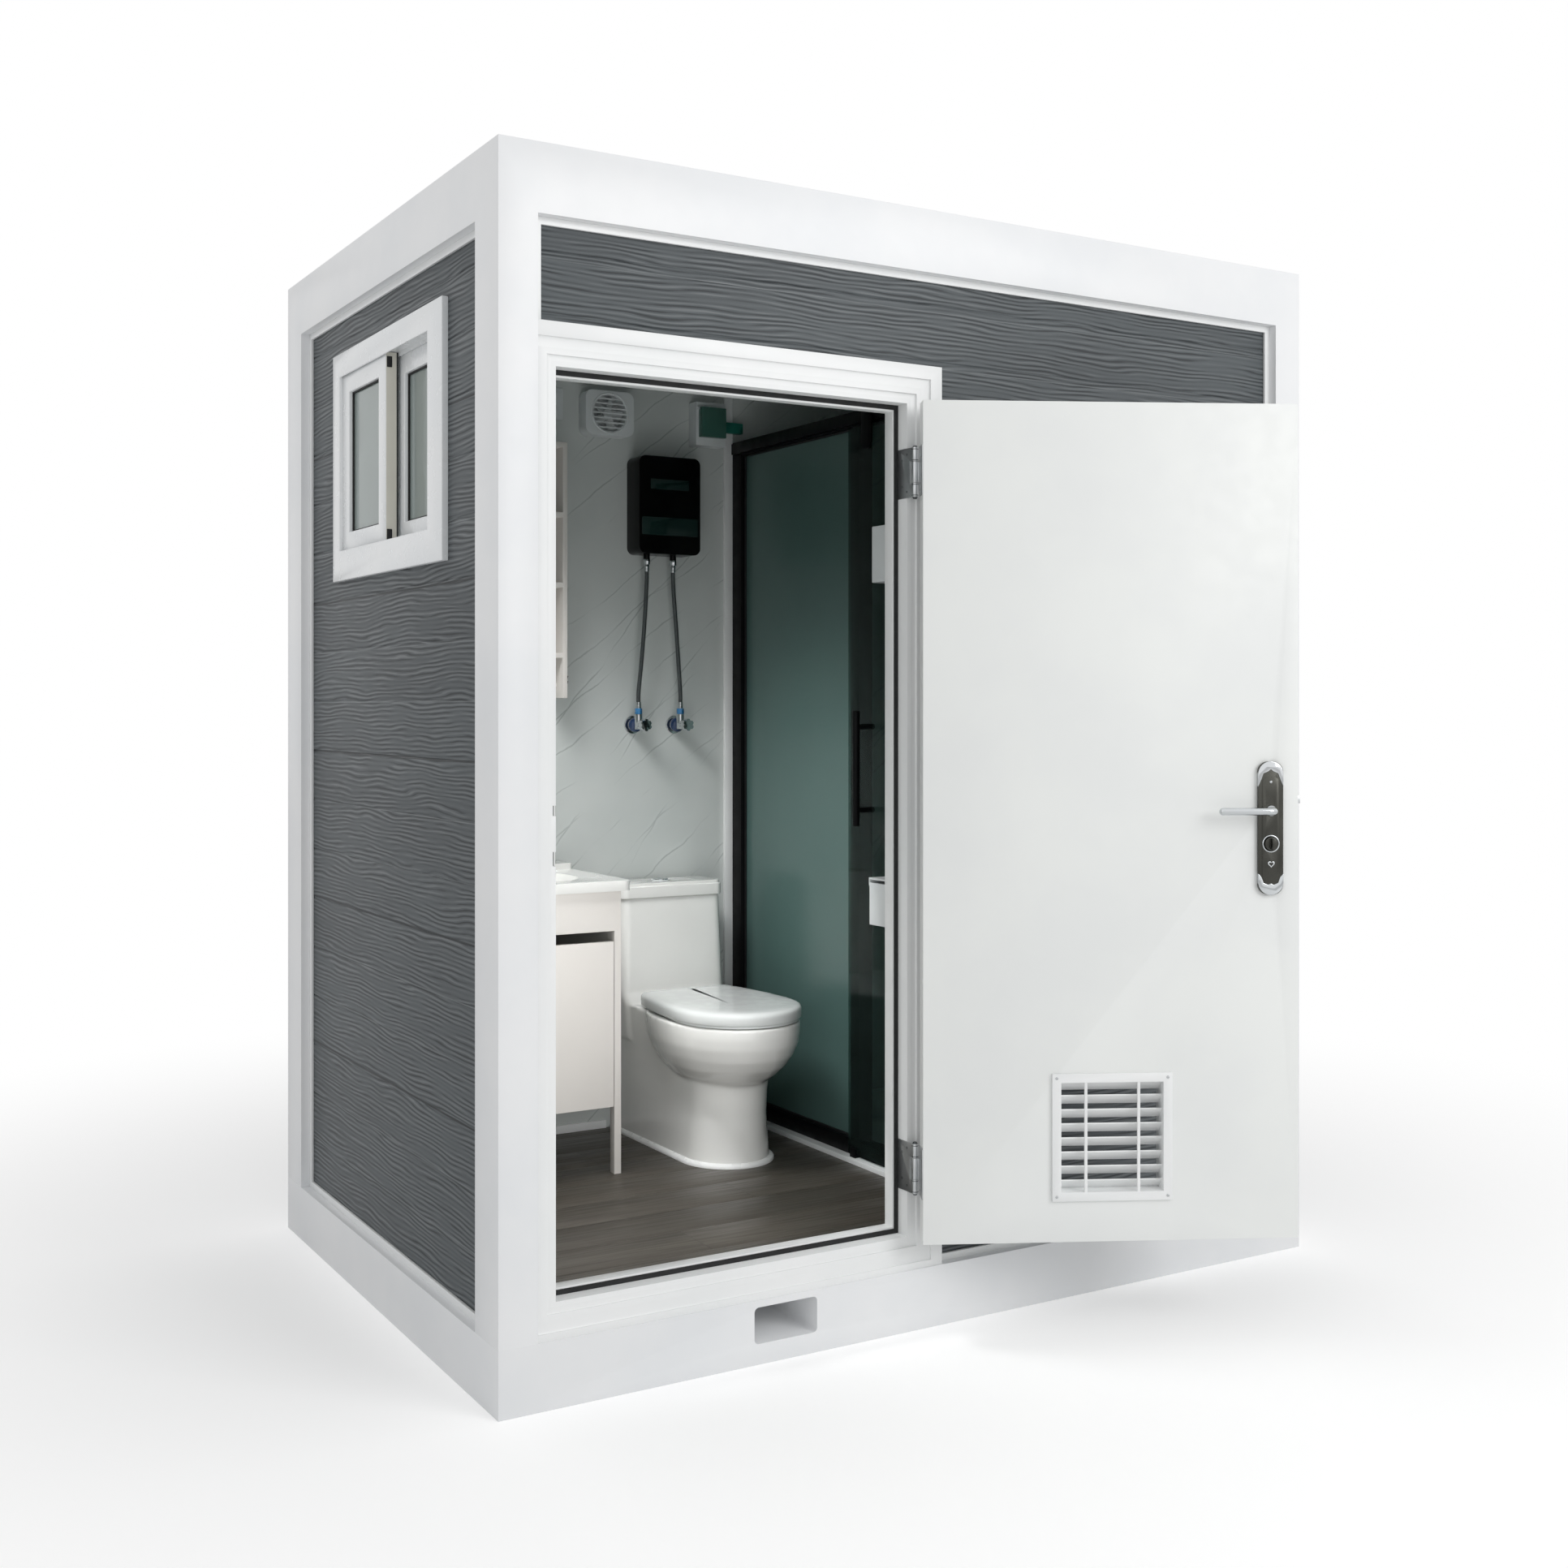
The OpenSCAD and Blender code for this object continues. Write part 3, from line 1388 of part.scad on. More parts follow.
// Braided hose hanging between two nuts
module hose(top, low) {
    d = [low[0] - top[0], 0, low[2] - top[2] + 16];
    translate(top - [0, 0, 8]) rotate([0, acos(d[2] / norm(d)), d[0] < 0 ? 180 : 0])
        cylinder(h = norm(d), r = hose_r);
    rod_z(top[0], top[1], top[2] - 18, top[2], hose_r + 4);
    rod_z(low[0], low[1], low[2], low[2] + 18, hose_r + 4);
}

module heater_hoses() {
    in_cabin() color("#B9BCBE") for (s = [-0.5, 0.5])
        hose([port_mid + s * port_gap, port_y, heater_lo - 14],
            [valve_mid + s * valve_gap, valve_y, valve_lo + 30]);
}

module angle_valves() {
    in_cabin() color(chrome) for (s = [-0.5, 0.5]) {
        x = valve_mid + s * valve_gap;
        rod_z(x, valve_y, valve_lo - 12, valve_lo + 30, 11);
        rod_y(x, valve_y - 24, in_b, valve_lo, 10);
        rod_y(x, valve_y - 46, valve_y - 24, valve_lo, 4);
        rod_y(x, in_b - 6, in_b, valve_lo, 25);
    }
}

// Grooved knob on a valve stem
module valve_handle(s) {
    x = valve_mid + s * valve_gap;
    in_cabin() color("#20345E") difference() {
        rod_y(x, valve_y - 50, valve_y - 26, valve_lo, 17);
        rod_y(x, valve_y - 47, valve_y - 20, valve_lo, 4 + run_gap);
        for (a = [0 : 60 : 300])
            translate([x, 0, valve_lo]) rotate([0, a, 0]) rod_y(19, valve_y - 51, valve_y - 20, 0, 5);
    }
}

module cold_valve_handle() {
    valve_handle(0.5);
}

module hot_valve_handle() {
    valve_handle(-0.5);
}

fan_x = 845;
fan_z = ceiling_z - 103;
fan_deep = 46;

// Square housing with a round grille and a motor stub behind the rotor
module fan_housing() {
    y0 = in_b - fan_deep;
    in_cabin() color(white) {
        difference() {
            plate_y(y0, in_b) translate([fan_x - fan_w / 2, fan_z - fan_h / 2]) round_rect(fan_w, fan_h, 22);
            rod_y(fan_x, y0 - 1, in_b - 4, fan_z, fan_r);
        }
        for (i = [-3 : 3])
            block([fan_x - sqrt(fan_r * fan_r - i * i * 169) - 1, y0 + 1, fan_z + i * 13 - 2],
                [fan_x + sqrt(fan_r * fan_r - i * i * 169) + 1, y0 + 4, fan_z + i * 13 + 2]);
        rod_y(fan_x, in_b - 16, in_b - 3, fan_z, 16);
        rod_y(fan_x, in_b - 31, in_b - 15, fan_z, 3);
    }
}

module fan_rotor() {
    y0 = in_b - 34;
    in_cabin() color("#D8DBDC") difference() {
        union() {
            rod_y(fan_x, y0, y0 + 14, fan_z, 14);
            for (a = [0 : 72 : 288])
                translate([fan_x, y0 + 7, fan_z]) rotate([0, a, 0]) translate([10, 0, 0]) rotate([28, 0, 0])
                    translate([0, -1, -11]) cube([fan_r - 15, 2, 22]);
        }
        rod_y(fan_x, y0 + 2, y0 + 20, fan_z, 3 + run_gap);
    }
}

module socket_plate() {
    x0 = 637;
    z0 = fan_z - 24;
    in_cabin() color(white) difference() {
        union() {
            plate_y(in_b - 7, in_b) translate([x0, z0]) round_rect(socket_w, socket_w, 5);
            plate_y(in_b - 10, in_b - 7) translate([x0 + 10, z0 + 10])
                round_rect(socket_w - 20, socket_w - 20, 4);
        }
        for (p = [[-9, 54], [9, 54], [-11, 24], [0, 24], [11, 24]]) {
            x = x0 + socket_w / 2 + p[0];
            block([x - 1, in_b - 11, z0 + p[1]], [x + 1, in_b - 4, z0 + p[1] + 9]);
        }
    }
}

breaker_x = 1113;
breaker_z = ceiling_z - 169;
breaker_deep = 44;

cover_gap = 1.2;
cover_pin_y = in_b - breaker_deep - cover_gap - 2.6;
cover_top = breaker_z + breaker_h - 16;
cover_pin_z = cover_top - 2.6;

// Breaker enclosure with its toggle row, the cover's pins and the cable duct beside it
module breaker_box() {
    y0 = in_b - breaker_deep;
    in_cabin() color(white) {
        block([breaker_x, y0, breaker_z], [breaker_x + breaker_w, in_b, breaker_z + breaker_h]);
        for (x = [20 : 15 : 65])
            block([breaker_x + x, y0 - 9, breaker_z + 48], [breaker_x + x + 9, y0, breaker_z + 66]);
        for (x = [breaker_x + 3.5, breaker_x + breaker_w - 7.5])
            block([x, cover_pin_y - 3, cover_pin_z - 4], [x + 4, y0, cover_pin_z + 3]);
        rod_x(breaker_x + 7, breaker_x + 11, cover_pin_y, cover_pin_z, 1.4);
        rod_x(breaker_x + breaker_w - 11, breaker_x + breaker_w - 7, cover_pin_y, cover_pin_z, 1.4);
        block([breaker_x + breaker_w, in_b - 22, breaker_z + 50], [tray_l, in_b - touch, breaker_z + 72]);
    }
}

module breaker_cover() {
    y1 = in_b - breaker_deep - cover_gap;
    in_cabin() color("#5E9A7C") difference() {
        block([breaker_x + 8, y1 - 18, breaker_z + 22], [breaker_x + breaker_w - 8, y1, cover_top]);
        block([breaker_x + 11.5, y1 - 15, breaker_z + 25],
            [breaker_x + breaker_w - 11.5, y1 + 1, cover_top - 5]);
        rod_x(breaker_x + 7, breaker_x + 12, cover_pin_y, cover_pin_z, 1.4 + run_gap);
        rod_x(breaker_x + breaker_w - 12, breaker_x + breaker_w - 7, cover_pin_y, cover_pin_z, 1.4 + run_gap);
    }
}

wallbox_x = casing_r - 54;
soap_z = 1610;
paper_z = 845;

module soap_dispenser() {
    in_cabin() color("#DADDDE") {
        difference() {
            translate([wallbox_x, in_f, soap_z]) linear_extrude(soap_h) round_rect(wallbox_w, wallbox_d, 14);
            block([wallbox_x + 60, in_f + wallbox_d - 3, soap_z + 30],
                [wallbox_x + 90, in_f + wallbox_d + 1, soap_z + soap_h - 30]);
        }
        rod_z(wallbox_x + wallbox_w / 2, in_f + wallbox_d - 35, soap_z - 16, soap_z + 1, 11);
    }
}

paper_pin_y = in_f + 10;
paper_pin_z = paper_z + paper_h - 10;

// Open-topped paper box with a slot in front and pin ears at the wall
module paper_box() {
    wall = 3;
    in_cabin() color("#E3E6E7") {
        difference() {
            block([wallbox_x, in_f, paper_z], [wallbox_x + wallbox_w, in_f + wallbox_d, paper_pin_z - 6]);
            block([wallbox_x + wall, in_f + wall, paper_z + wall],
                [wallbox_x + wallbox_w - wall, in_f + wallbox_d - wall, paper_z + paper_h]);
            block([wallbox_x + 35, in_f + 60, paper_z - 1],
                [wallbox_x + wallbox_w - 35, in_f + 90, paper_z + wall + 1]);
        }
        for (x = [wallbox_x, wallbox_x + wallbox_w - wall])
            block([x, in_f, paper_z + wall], [x + wall, paper_pin_y + 5, paper_pin_z + 5]);
        rod_x(wallbox_x, wallbox_x + wallbox_w, paper_pin_y, paper_pin_z, 2.5);
    }
}

module paper_box_lid() {
    z0 = paper_pin_z - 5;
    in_cabin() color("#E3E6E7") difference() {
        union() {
            rod_x(wallbox_x + 4, wallbox_x + wallbox_w - 4, paper_pin_y, paper_pin_z, 5);
            block([wallbox_x + 4, paper_pin_y, z0 + 6], [wallbox_x + wallbox_w - 4, in_f + 20, z0 + 10]);
            block([wallbox_x, in_f + 18, z0 + 6], [wallbox_x + wallbox_w, in_f + wallbox_d + 3, z0 + 10]);
            block([wallbox_x, in_f + wallbox_d + touch, z0 - 8],
                [wallbox_x + wallbox_w, in_f + wallbox_d + 3, z0 + 10]);
        }
        rod_x(wallbox_x, wallbox_x + wallbox_w, paper_pin_y, paper_pin_z, 2.5 + run_gap);
    }
}

// Tray with a raised rim, a slotted drain plate and the white kerb under the door
module shower_tray() {
    dish = 9;
    rim = 22;
    in_cabin() color("#EDEEEE") {
        difference() {
            block([tray_l, in_f, deck_z], [in_r, in_b, kerb_z]);
            block([shower_x + frame_t + rim, in_f + rim, kerb_z - dish], [in_r - rim, in_b - rim, kerb_z + 1]);
            rod_z(drain_x, drain_y, deck_z - 1, kerb_z, grey_r + 1);
        }
        difference() {
            rod_z(drain_x, drain_y, kerb_z - dish, kerb_z - dish + 3, 50);
            for (i = [-2 : 2])
                block([drain_x - 18, drain_y + i * 8 - 2, deck_z], [drain_x + 18, drain_y + i * 8 + 2, kerb_z]);
        }
    }
}

// Partition frame with the running rail, its spacers and the floor guide
module shower_frame() {
    x1 = shower_x + frame_t;
    far = in_b - rear_stile_w;
    in_cabin() color(black) {
        for (z = [kerb_z, screen_z - rail_h])
            block([shower_x, in_f, z], [x1, in_b, z + rail_h]);
        for (span = [[in_f, in_f + 30], [stile_y, stile_y + stile_w], [far, in_b]])
            block([shower_x, span[0], kerb_z + rail_h], [x1, span[1], screen_z - rail_h]);
        block([shower_x - 8, in_f + 6, rail_z - 30], [shower_x - 2, in_b - 16, rail_z]);
        for (k = [0 : 3])
            rod_x(shower_x - 2, shower_x, in_f + 60 + k * (in_b - in_f - 140) / 3, rail_z - 15, 9);
        difference() {
            block([shower_x - 16, stile_y, kerb_z], [shower_x, stile_y + 24, door_lo + 14]);
            block([slide_x - slide_gap, stile_y - 1, door_lo - 3],
                [slide_x + 8 + slide_gap, stile_y + 30, door_lo + 15]);
        }
    }
}

module fixed_glass() {
    x = shower_x + frame_t / 2;
    in_cabin() color(glass_tint)
        block([x - glass_t / 2, stile_y + stile_w, kerb_z + rail_h],
            [x + glass_t / 2, in_b - rear_stile_w, screen_z - rail_h]);
}

wheel_r = 14;

// Hangers, wheels and pull pegs carried by the sliding glass
module shower_door() {
    wheel_z = rail_z + wheel_r + touch;
    grip_y = stile_y - 66;
    in_cabin() color(chrome) {
        for (y = [door_near + 90, door_far - 90]) {
            plate_x(slide_x - 6, slide_x - touch) translate([y - 22, door_hi_z - 60])
                round_rect(44, wheel_z + 20 - door_hi_z + 60, 20);
            rod_x(slide_x - 1, slide_x + 9, y, wheel_z, 4);
            rod_x(slide_x + 1, slide_x + 9, y, wheel_z, wheel_r);
            rod_x(slide_x - 1, slide_x + 9, y, door_hi_z - 30, 6);
        }
        for (z = [floor_z + grip_z - grip_gap / 2, floor_z + grip_z + grip_gap / 2])
            rod_x(slide_x - grip_off, slide_x + 9, grip_y, z, 7);
        rod_z(slide_x - grip_off, grip_y, floor_z + grip_z - grip_gap / 2 - 40,
            floor_z + grip_z + grip_gap / 2 + 40, 9);
    }
}

module shower_door_glass() {
    in_cabin() color(glass_tint) difference() {
        block([slide_x, door_near, door_lo], [slide_x + 8, door_far, door_hi_z]);
        for (y = [door_near + 90, door_far - 90])
            rod_x(slide_x - 1, slide_x + 9, y, door_hi_z - 30, 6 + run_gap);
        for (z = [floor_z + grip_z - grip_gap / 2, floor_z + grip_z + grip_gap / 2])
            rod_x(slide_x - 1, slide_x + 9, stile_y - 66, z, 7 + run_gap);
    }
}

rain_x = column_x - 260;
rain_z = screen_z + 20;

// Bar mixer, riser, arm and overhead shower
module shower_column() {
    z = floor_z + mixer_z;
    in_cabin() color(black) {
        rod_y(column_x, column_y - 100, column_y + 100, z, 22);
        rod_y(column_x, column_y - 130, column_y - 100, z, 6);
        for (s = [-1, 1]) {
            rod_x(column_x, in_r, column_y + s * 75, z, 13);
            rod_x(in_r - 8, in_r, column_y + s * 75, z, 32);
        }
        rod_z(column_x, column_y, z, rain_z, 10);
        rod_x(column_x, in_r, column_y, rain_z - 160, 8);
        translate([column_x, column_y, rain_z]) sphere(10);
        rod_x(rain_x, column_x, column_y, rain_z, 10);
        rod_z(rain_x, column_y, rain_z - 34, rain_z + 10, 12);
        rod_z(rain_x, column_y, rain_z - 42, rain_z - 34, head_r);
    }
}

module mixer_lever() {
    y1 = column_y - 100 - touch;
    z = floor_z + mixer_z;
    in_cabin() color(black) difference() {
        union() {
            rod_y(column_x, y1 - 32, y1, z, 21);
            block([column_x - 60, y1 - 30, z - 5], [column_x, y1 - 14, z + 5]);
        }
        rod_y(column_x, y1 - 31, y1 + 1, z, 6 + run_gap);
    }
}

base_frame();
upper_frame();
floor_deck();
floor_planks();
roof_panel();
ceiling_panel();
wall_cladding();
wall_lining();
trims();
door_frame();
door_seal();
frame_hinge_leaves();
window_frame();
toilet_pan();
cistern_lid();
cistern_valves();
plumbing_pipes();
vanity_cabinet();
basin_top();
tap_body();
mirror_cabinet();
heater_case();
heater_hoses();
angle_valves();
fan_housing();
socket_plate();
breaker_box();
soap_dispenser();
paper_box();
shower_tray();
shower_frame();
fixed_glass();
shower_column();
door_leaf();
door_louvre();
door_hinge_leaves();
lock_plates();
lever_handle();
latch_bolt();
thumb_turn();
dead_bolt();
outer_sash();
outer_pane();
inner_sash();
inner_pane();
toilet_seat();
toilet_cover();
flush_button_full();
flush_button_half();
vanity_door();
mirror_door();
tap_lever();
cold_valve_handle();
hot_valve_handle();
fan_rotor();
shower_door();
shower_door_glass();
mixer_lever();
breaker_cover();
paper_box_lid();
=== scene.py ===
"""Looks of the portable washroom cabin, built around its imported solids."""

import json
import logging
import math
from dataclasses import dataclass, field
from enum import Enum

import bmesh
import bpy
from mathutils import Matrix, Vector


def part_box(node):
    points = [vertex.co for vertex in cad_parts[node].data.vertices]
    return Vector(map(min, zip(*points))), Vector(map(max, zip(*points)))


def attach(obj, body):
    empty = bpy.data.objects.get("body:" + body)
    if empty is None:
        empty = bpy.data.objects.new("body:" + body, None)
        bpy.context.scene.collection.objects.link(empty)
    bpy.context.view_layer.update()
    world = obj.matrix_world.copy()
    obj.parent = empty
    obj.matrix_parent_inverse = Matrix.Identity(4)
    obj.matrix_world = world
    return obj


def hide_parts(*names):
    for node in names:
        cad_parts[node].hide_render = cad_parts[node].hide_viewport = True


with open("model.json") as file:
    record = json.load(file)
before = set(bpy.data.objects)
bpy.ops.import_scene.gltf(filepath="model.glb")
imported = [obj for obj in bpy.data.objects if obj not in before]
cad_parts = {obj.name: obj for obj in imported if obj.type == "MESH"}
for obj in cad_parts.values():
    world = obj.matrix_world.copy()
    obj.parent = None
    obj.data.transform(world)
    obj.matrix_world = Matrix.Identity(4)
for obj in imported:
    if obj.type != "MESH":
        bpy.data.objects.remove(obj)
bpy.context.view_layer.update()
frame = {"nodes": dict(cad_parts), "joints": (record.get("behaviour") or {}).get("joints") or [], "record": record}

LOG = logging.getLogger("cabin")
MM = 0.001
# Places are measured from the base frame's front left ground corner; the origin is under the middle.
CORNER = Vector([-round(value, 5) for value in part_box("base_frame")[0]])
DOOR_SWING = next(joint for joint in frame["joints"] if joint["name"] == "door_swing")
HINGE = Vector((*DOOR_SWING["pos_m"][:2], 0.0))
LEAF_OPEN = -math.radians(DOOR_SWING["range_deg"][0])
UP = Vector((0, 0, 1))
TOWARDS_BACK = Vector((0, 1, 0))
TOWARDS_LEFT = Vector((-1, 0, 0))
TOWARDS_RIGHT = Vector((1, 0, 0))


class Facing(Enum):
    """Which way the outline of a flat piece faces."""

    DOOR_SIDE = "outline in x and z, thickness along y"
    LEFT_SIDE = "outline in y and z, thickness along x"

    def point(self, across: float, up: float, depth: float) -> Vector:
        """Place a point of a flat outline, in millimetres from the cabin's corner.

        Args:
            across: First coordinate of the outline.
            up: Second coordinate of the outline.
            depth: Place along the thickness.

        Returns:
            The point in metres in the shared frame.
        """
        if self is Facing.DOOR_SIDE:
            return at(across, depth, up)
        return at(depth, across, up)


def at(x: float, y: float, z: float) -> Vector:
    """Turn a point in millimetres from the cabin's corner into the shared frame.

    Args:
        x: Distance to the right of the left end.
        y: Distance behind the door side.
        z: Height above the ground.

    Returns:
        The same point in metres.
    """
    return Vector((x, y, z)) * MM - CORNER


@dataclass(frozen=True)
class Span:
    """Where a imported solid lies, in millimetres from the cabin's corner."""

    left: float
    front: float
    low: float
    right: float
    rear: float
    high: float

    @classmethod
    def of(cls, node: str) -> "Span":
        """Read a solid's place from the frame.

        Args:
            node: The solid's name.

        Returns:
            Its lowest values along the three axes, then its highest.
        """
        return cls(*(round((value + shift) / MM, 2)
                     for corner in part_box(node) for value, shift in zip(corner, CORNER)))

    @property
    def middle(self) -> tuple[float, float, float]:
        """Its middle along the three axes."""
        return (self.left + self.right) / 2, (self.front + self.rear) / 2, (self.low + self.high) / 2


# Both hinges sit as far inside the ends of the hinge leaves as half a leaf is tall.
HALF_HINGE = 53.0
HINGES = (Span.of("frame_hinge_leaves").low + HALF_HINGE, Span.of("frame_hinge_leaves").high - HALF_HINGE)


def linear(colour: str) -> tuple[float, float, float, float]:
    """Turn an sRGB hex colour into linear values.

    Args:
        colour: Six hex digits after a hash.

    Returns:
        Red, green, blue and an alpha of one.
    """
    parts = [int(colour[i : i + 2], 16) / 255 for i in (1, 3, 5)]
    out = [p / 12.92 if p <= 0.04045 else ((p + 0.055) / 1.055) ** 2.4 for p in parts]
    return out[0], out[1], out[2], 1.0


def add(tree: bpy.types.NodeTree, kind: str, links: dict | None = None, **settings) -> bpy.types.Node:
    """Add one shader node with its settings and its links.

    Args:
        tree: The tree that gets the node.
        kind: The node's type name.
        links: Input name or number to a socket or a plain value.
        **settings: Properties of the node.

    Returns:
        The new node.
    """
    made = tree.nodes.new(kind)
    for key, value in settings.items():
        setattr(made, key, value)
    for key, value in (links or {}).items():
        if isinstance(value, bpy.types.NodeSocket):
            tree.links.new(value, made.inputs[key])
        else:
            made.inputs[key].default_value = value
    return made


def ramp(tree: bpy.types.NodeTree, value: bpy.types.NodeSocket, low: float, high: float,
         start: float = 0.0, end: float = 1.0) -> bpy.types.NodeSocket:
    """Stretch a value smoothly from one range to another.

    Args:
        tree: The tree to work in.
        value: The socket that is read.
        low: Input that gives start.
        high: Input that gives end.
        start: Output at low.
        end: Output at high.

    Returns:
        The socket with the stretched value.
    """
    links = {"Value": value, "From Min": low, "From Max": high, "To Min": start, "To Max": end}
    return add(tree, "ShaderNodeMapRange", links, interpolation_type="SMOOTHSTEP").outputs["Result"]


def mixed(tree: bpy.types.NodeTree, factor: bpy.types.NodeSocket, first: object,
          second: object) -> bpy.types.NodeSocket:
    """Mix two colours.

    Args:
        tree: The tree to work in.
        factor: How much of the second shows.
        first: A socket or a hex colour.
        second: A socket or a hex colour.

    Returns:
        The mixed colour's socket.
    """
    made = add(tree, "ShaderNodeMix", data_type="RGBA")
    tree.links.new(factor, made.inputs[0])
    for number, value in ((6, first), (7, second)):
        if isinstance(value, str):
            made.inputs[number].default_value = linear(value)
        else:
            tree.links.new(value, made.inputs[number])
    return made.outputs[2]


def noise(tree: bpy.types.NodeTree, coords: bpy.types.NodeSocket, grain_mm: float, detail: float = 3.0,
          stretch: tuple[float, float, float] = (1.0, 1.0, 1.0)) -> bpy.types.NodeSocket:
    """Read a noise whose blobs have a real size.

    Args:
        tree: The tree to work in.
        coords: Coordinates in metres.
        grain_mm: Size of one blob.
        detail: Finer layers on top.
        stretch: How many times longer a blob is along each axis.

    Returns:
        The noise value's socket.
    """
    scale = tuple(1 / (grain_mm * MM * s) for s in stretch)
    placed = add(tree, "ShaderNodeMapping", {"Vector": coords, "Scale": scale})
    return add(tree, "ShaderNodeTexNoise", {"Vector": placed.outputs[0], "Scale": 1.0, "Detail": detail}
               ).outputs["Fac"]


@dataclass(frozen=True)
class Finish:
    """Plain moulded or painted surface: one colour with slow drift and a fine skin texture."""

    name: str
    colour: str
    drift: str
    roughness: float = 0.4
    metallic: float = 0.0
    drift_mm: float = 260.0
    skin_mm: float = 1.6
    skin_depth_mm: float = 0.02
    coat: float = 0.0
    ior: float = 1.5
    swing: float = 0.06

    def material(self) -> bpy.types.Material:
        """Make this finish's material on first use.

        Returns:
            The material.
        """
        known = bpy.data.materials.get(self.name)
        if known:
            return known
        made = bpy.data.materials.new(self.name)
        made.use_nodes = True
        tree = made.node_tree
        shader = tree.nodes["Principled BSDF"]
        shader.inputs["Metallic"].default_value = self.metallic
        shader.inputs["Coat Weight"].default_value = self.coat
        shader.inputs["Coat Roughness"].default_value = 0.08
        if not self.metallic:
            shader.inputs["IOR"].default_value = self.ior
        coords = add(tree, "ShaderNodeTexCoord").outputs["Object"]
        self.dress(tree, shader, coords)
        return made

    def dress(self, tree: bpy.types.NodeTree, shader: bpy.types.Node, coords: bpy.types.NodeSocket) -> None:
        """Link colour, roughness and relief.

        Args:
            tree: The material's tree.
            shader: Its main shader.
            coords: Object coordinates in metres.
        """
        cloud = noise(tree, coords, self.drift_mm, 4.0)
        tree.links.new(mixed(tree, ramp(tree, cloud, 0.3, 0.7), self.colour, self.drift),
                       shader.inputs["Base Color"])
        low, high = self.roughness - self.swing, self.roughness + self.swing
        tree.links.new(ramp(tree, noise(tree, coords, self.drift_mm / 7), 0.3, 0.7, low, high),
                       shader.inputs["Roughness"])
        self.relief(tree, shader, noise(tree, coords, self.skin_mm, 2.0), self.skin_depth_mm)

    @staticmethod
    def relief(tree: bpy.types.NodeTree, shader: bpy.types.Node, height: bpy.types.NodeSocket,
               depth_mm: float) -> None:
        """Link a bump of a real depth.

        Args:
            tree: The material's tree.
            shader: Its main shader.
            height: Height from 0 to 1.
            depth_mm: Depth of the bump.
        """
        bump = add(tree, "ShaderNodeBump", {"Height": height, "Distance": depth_mm * MM, "Strength": 1.0})
        tree.links.new(bump.outputs[0], shader.inputs["Normal"])


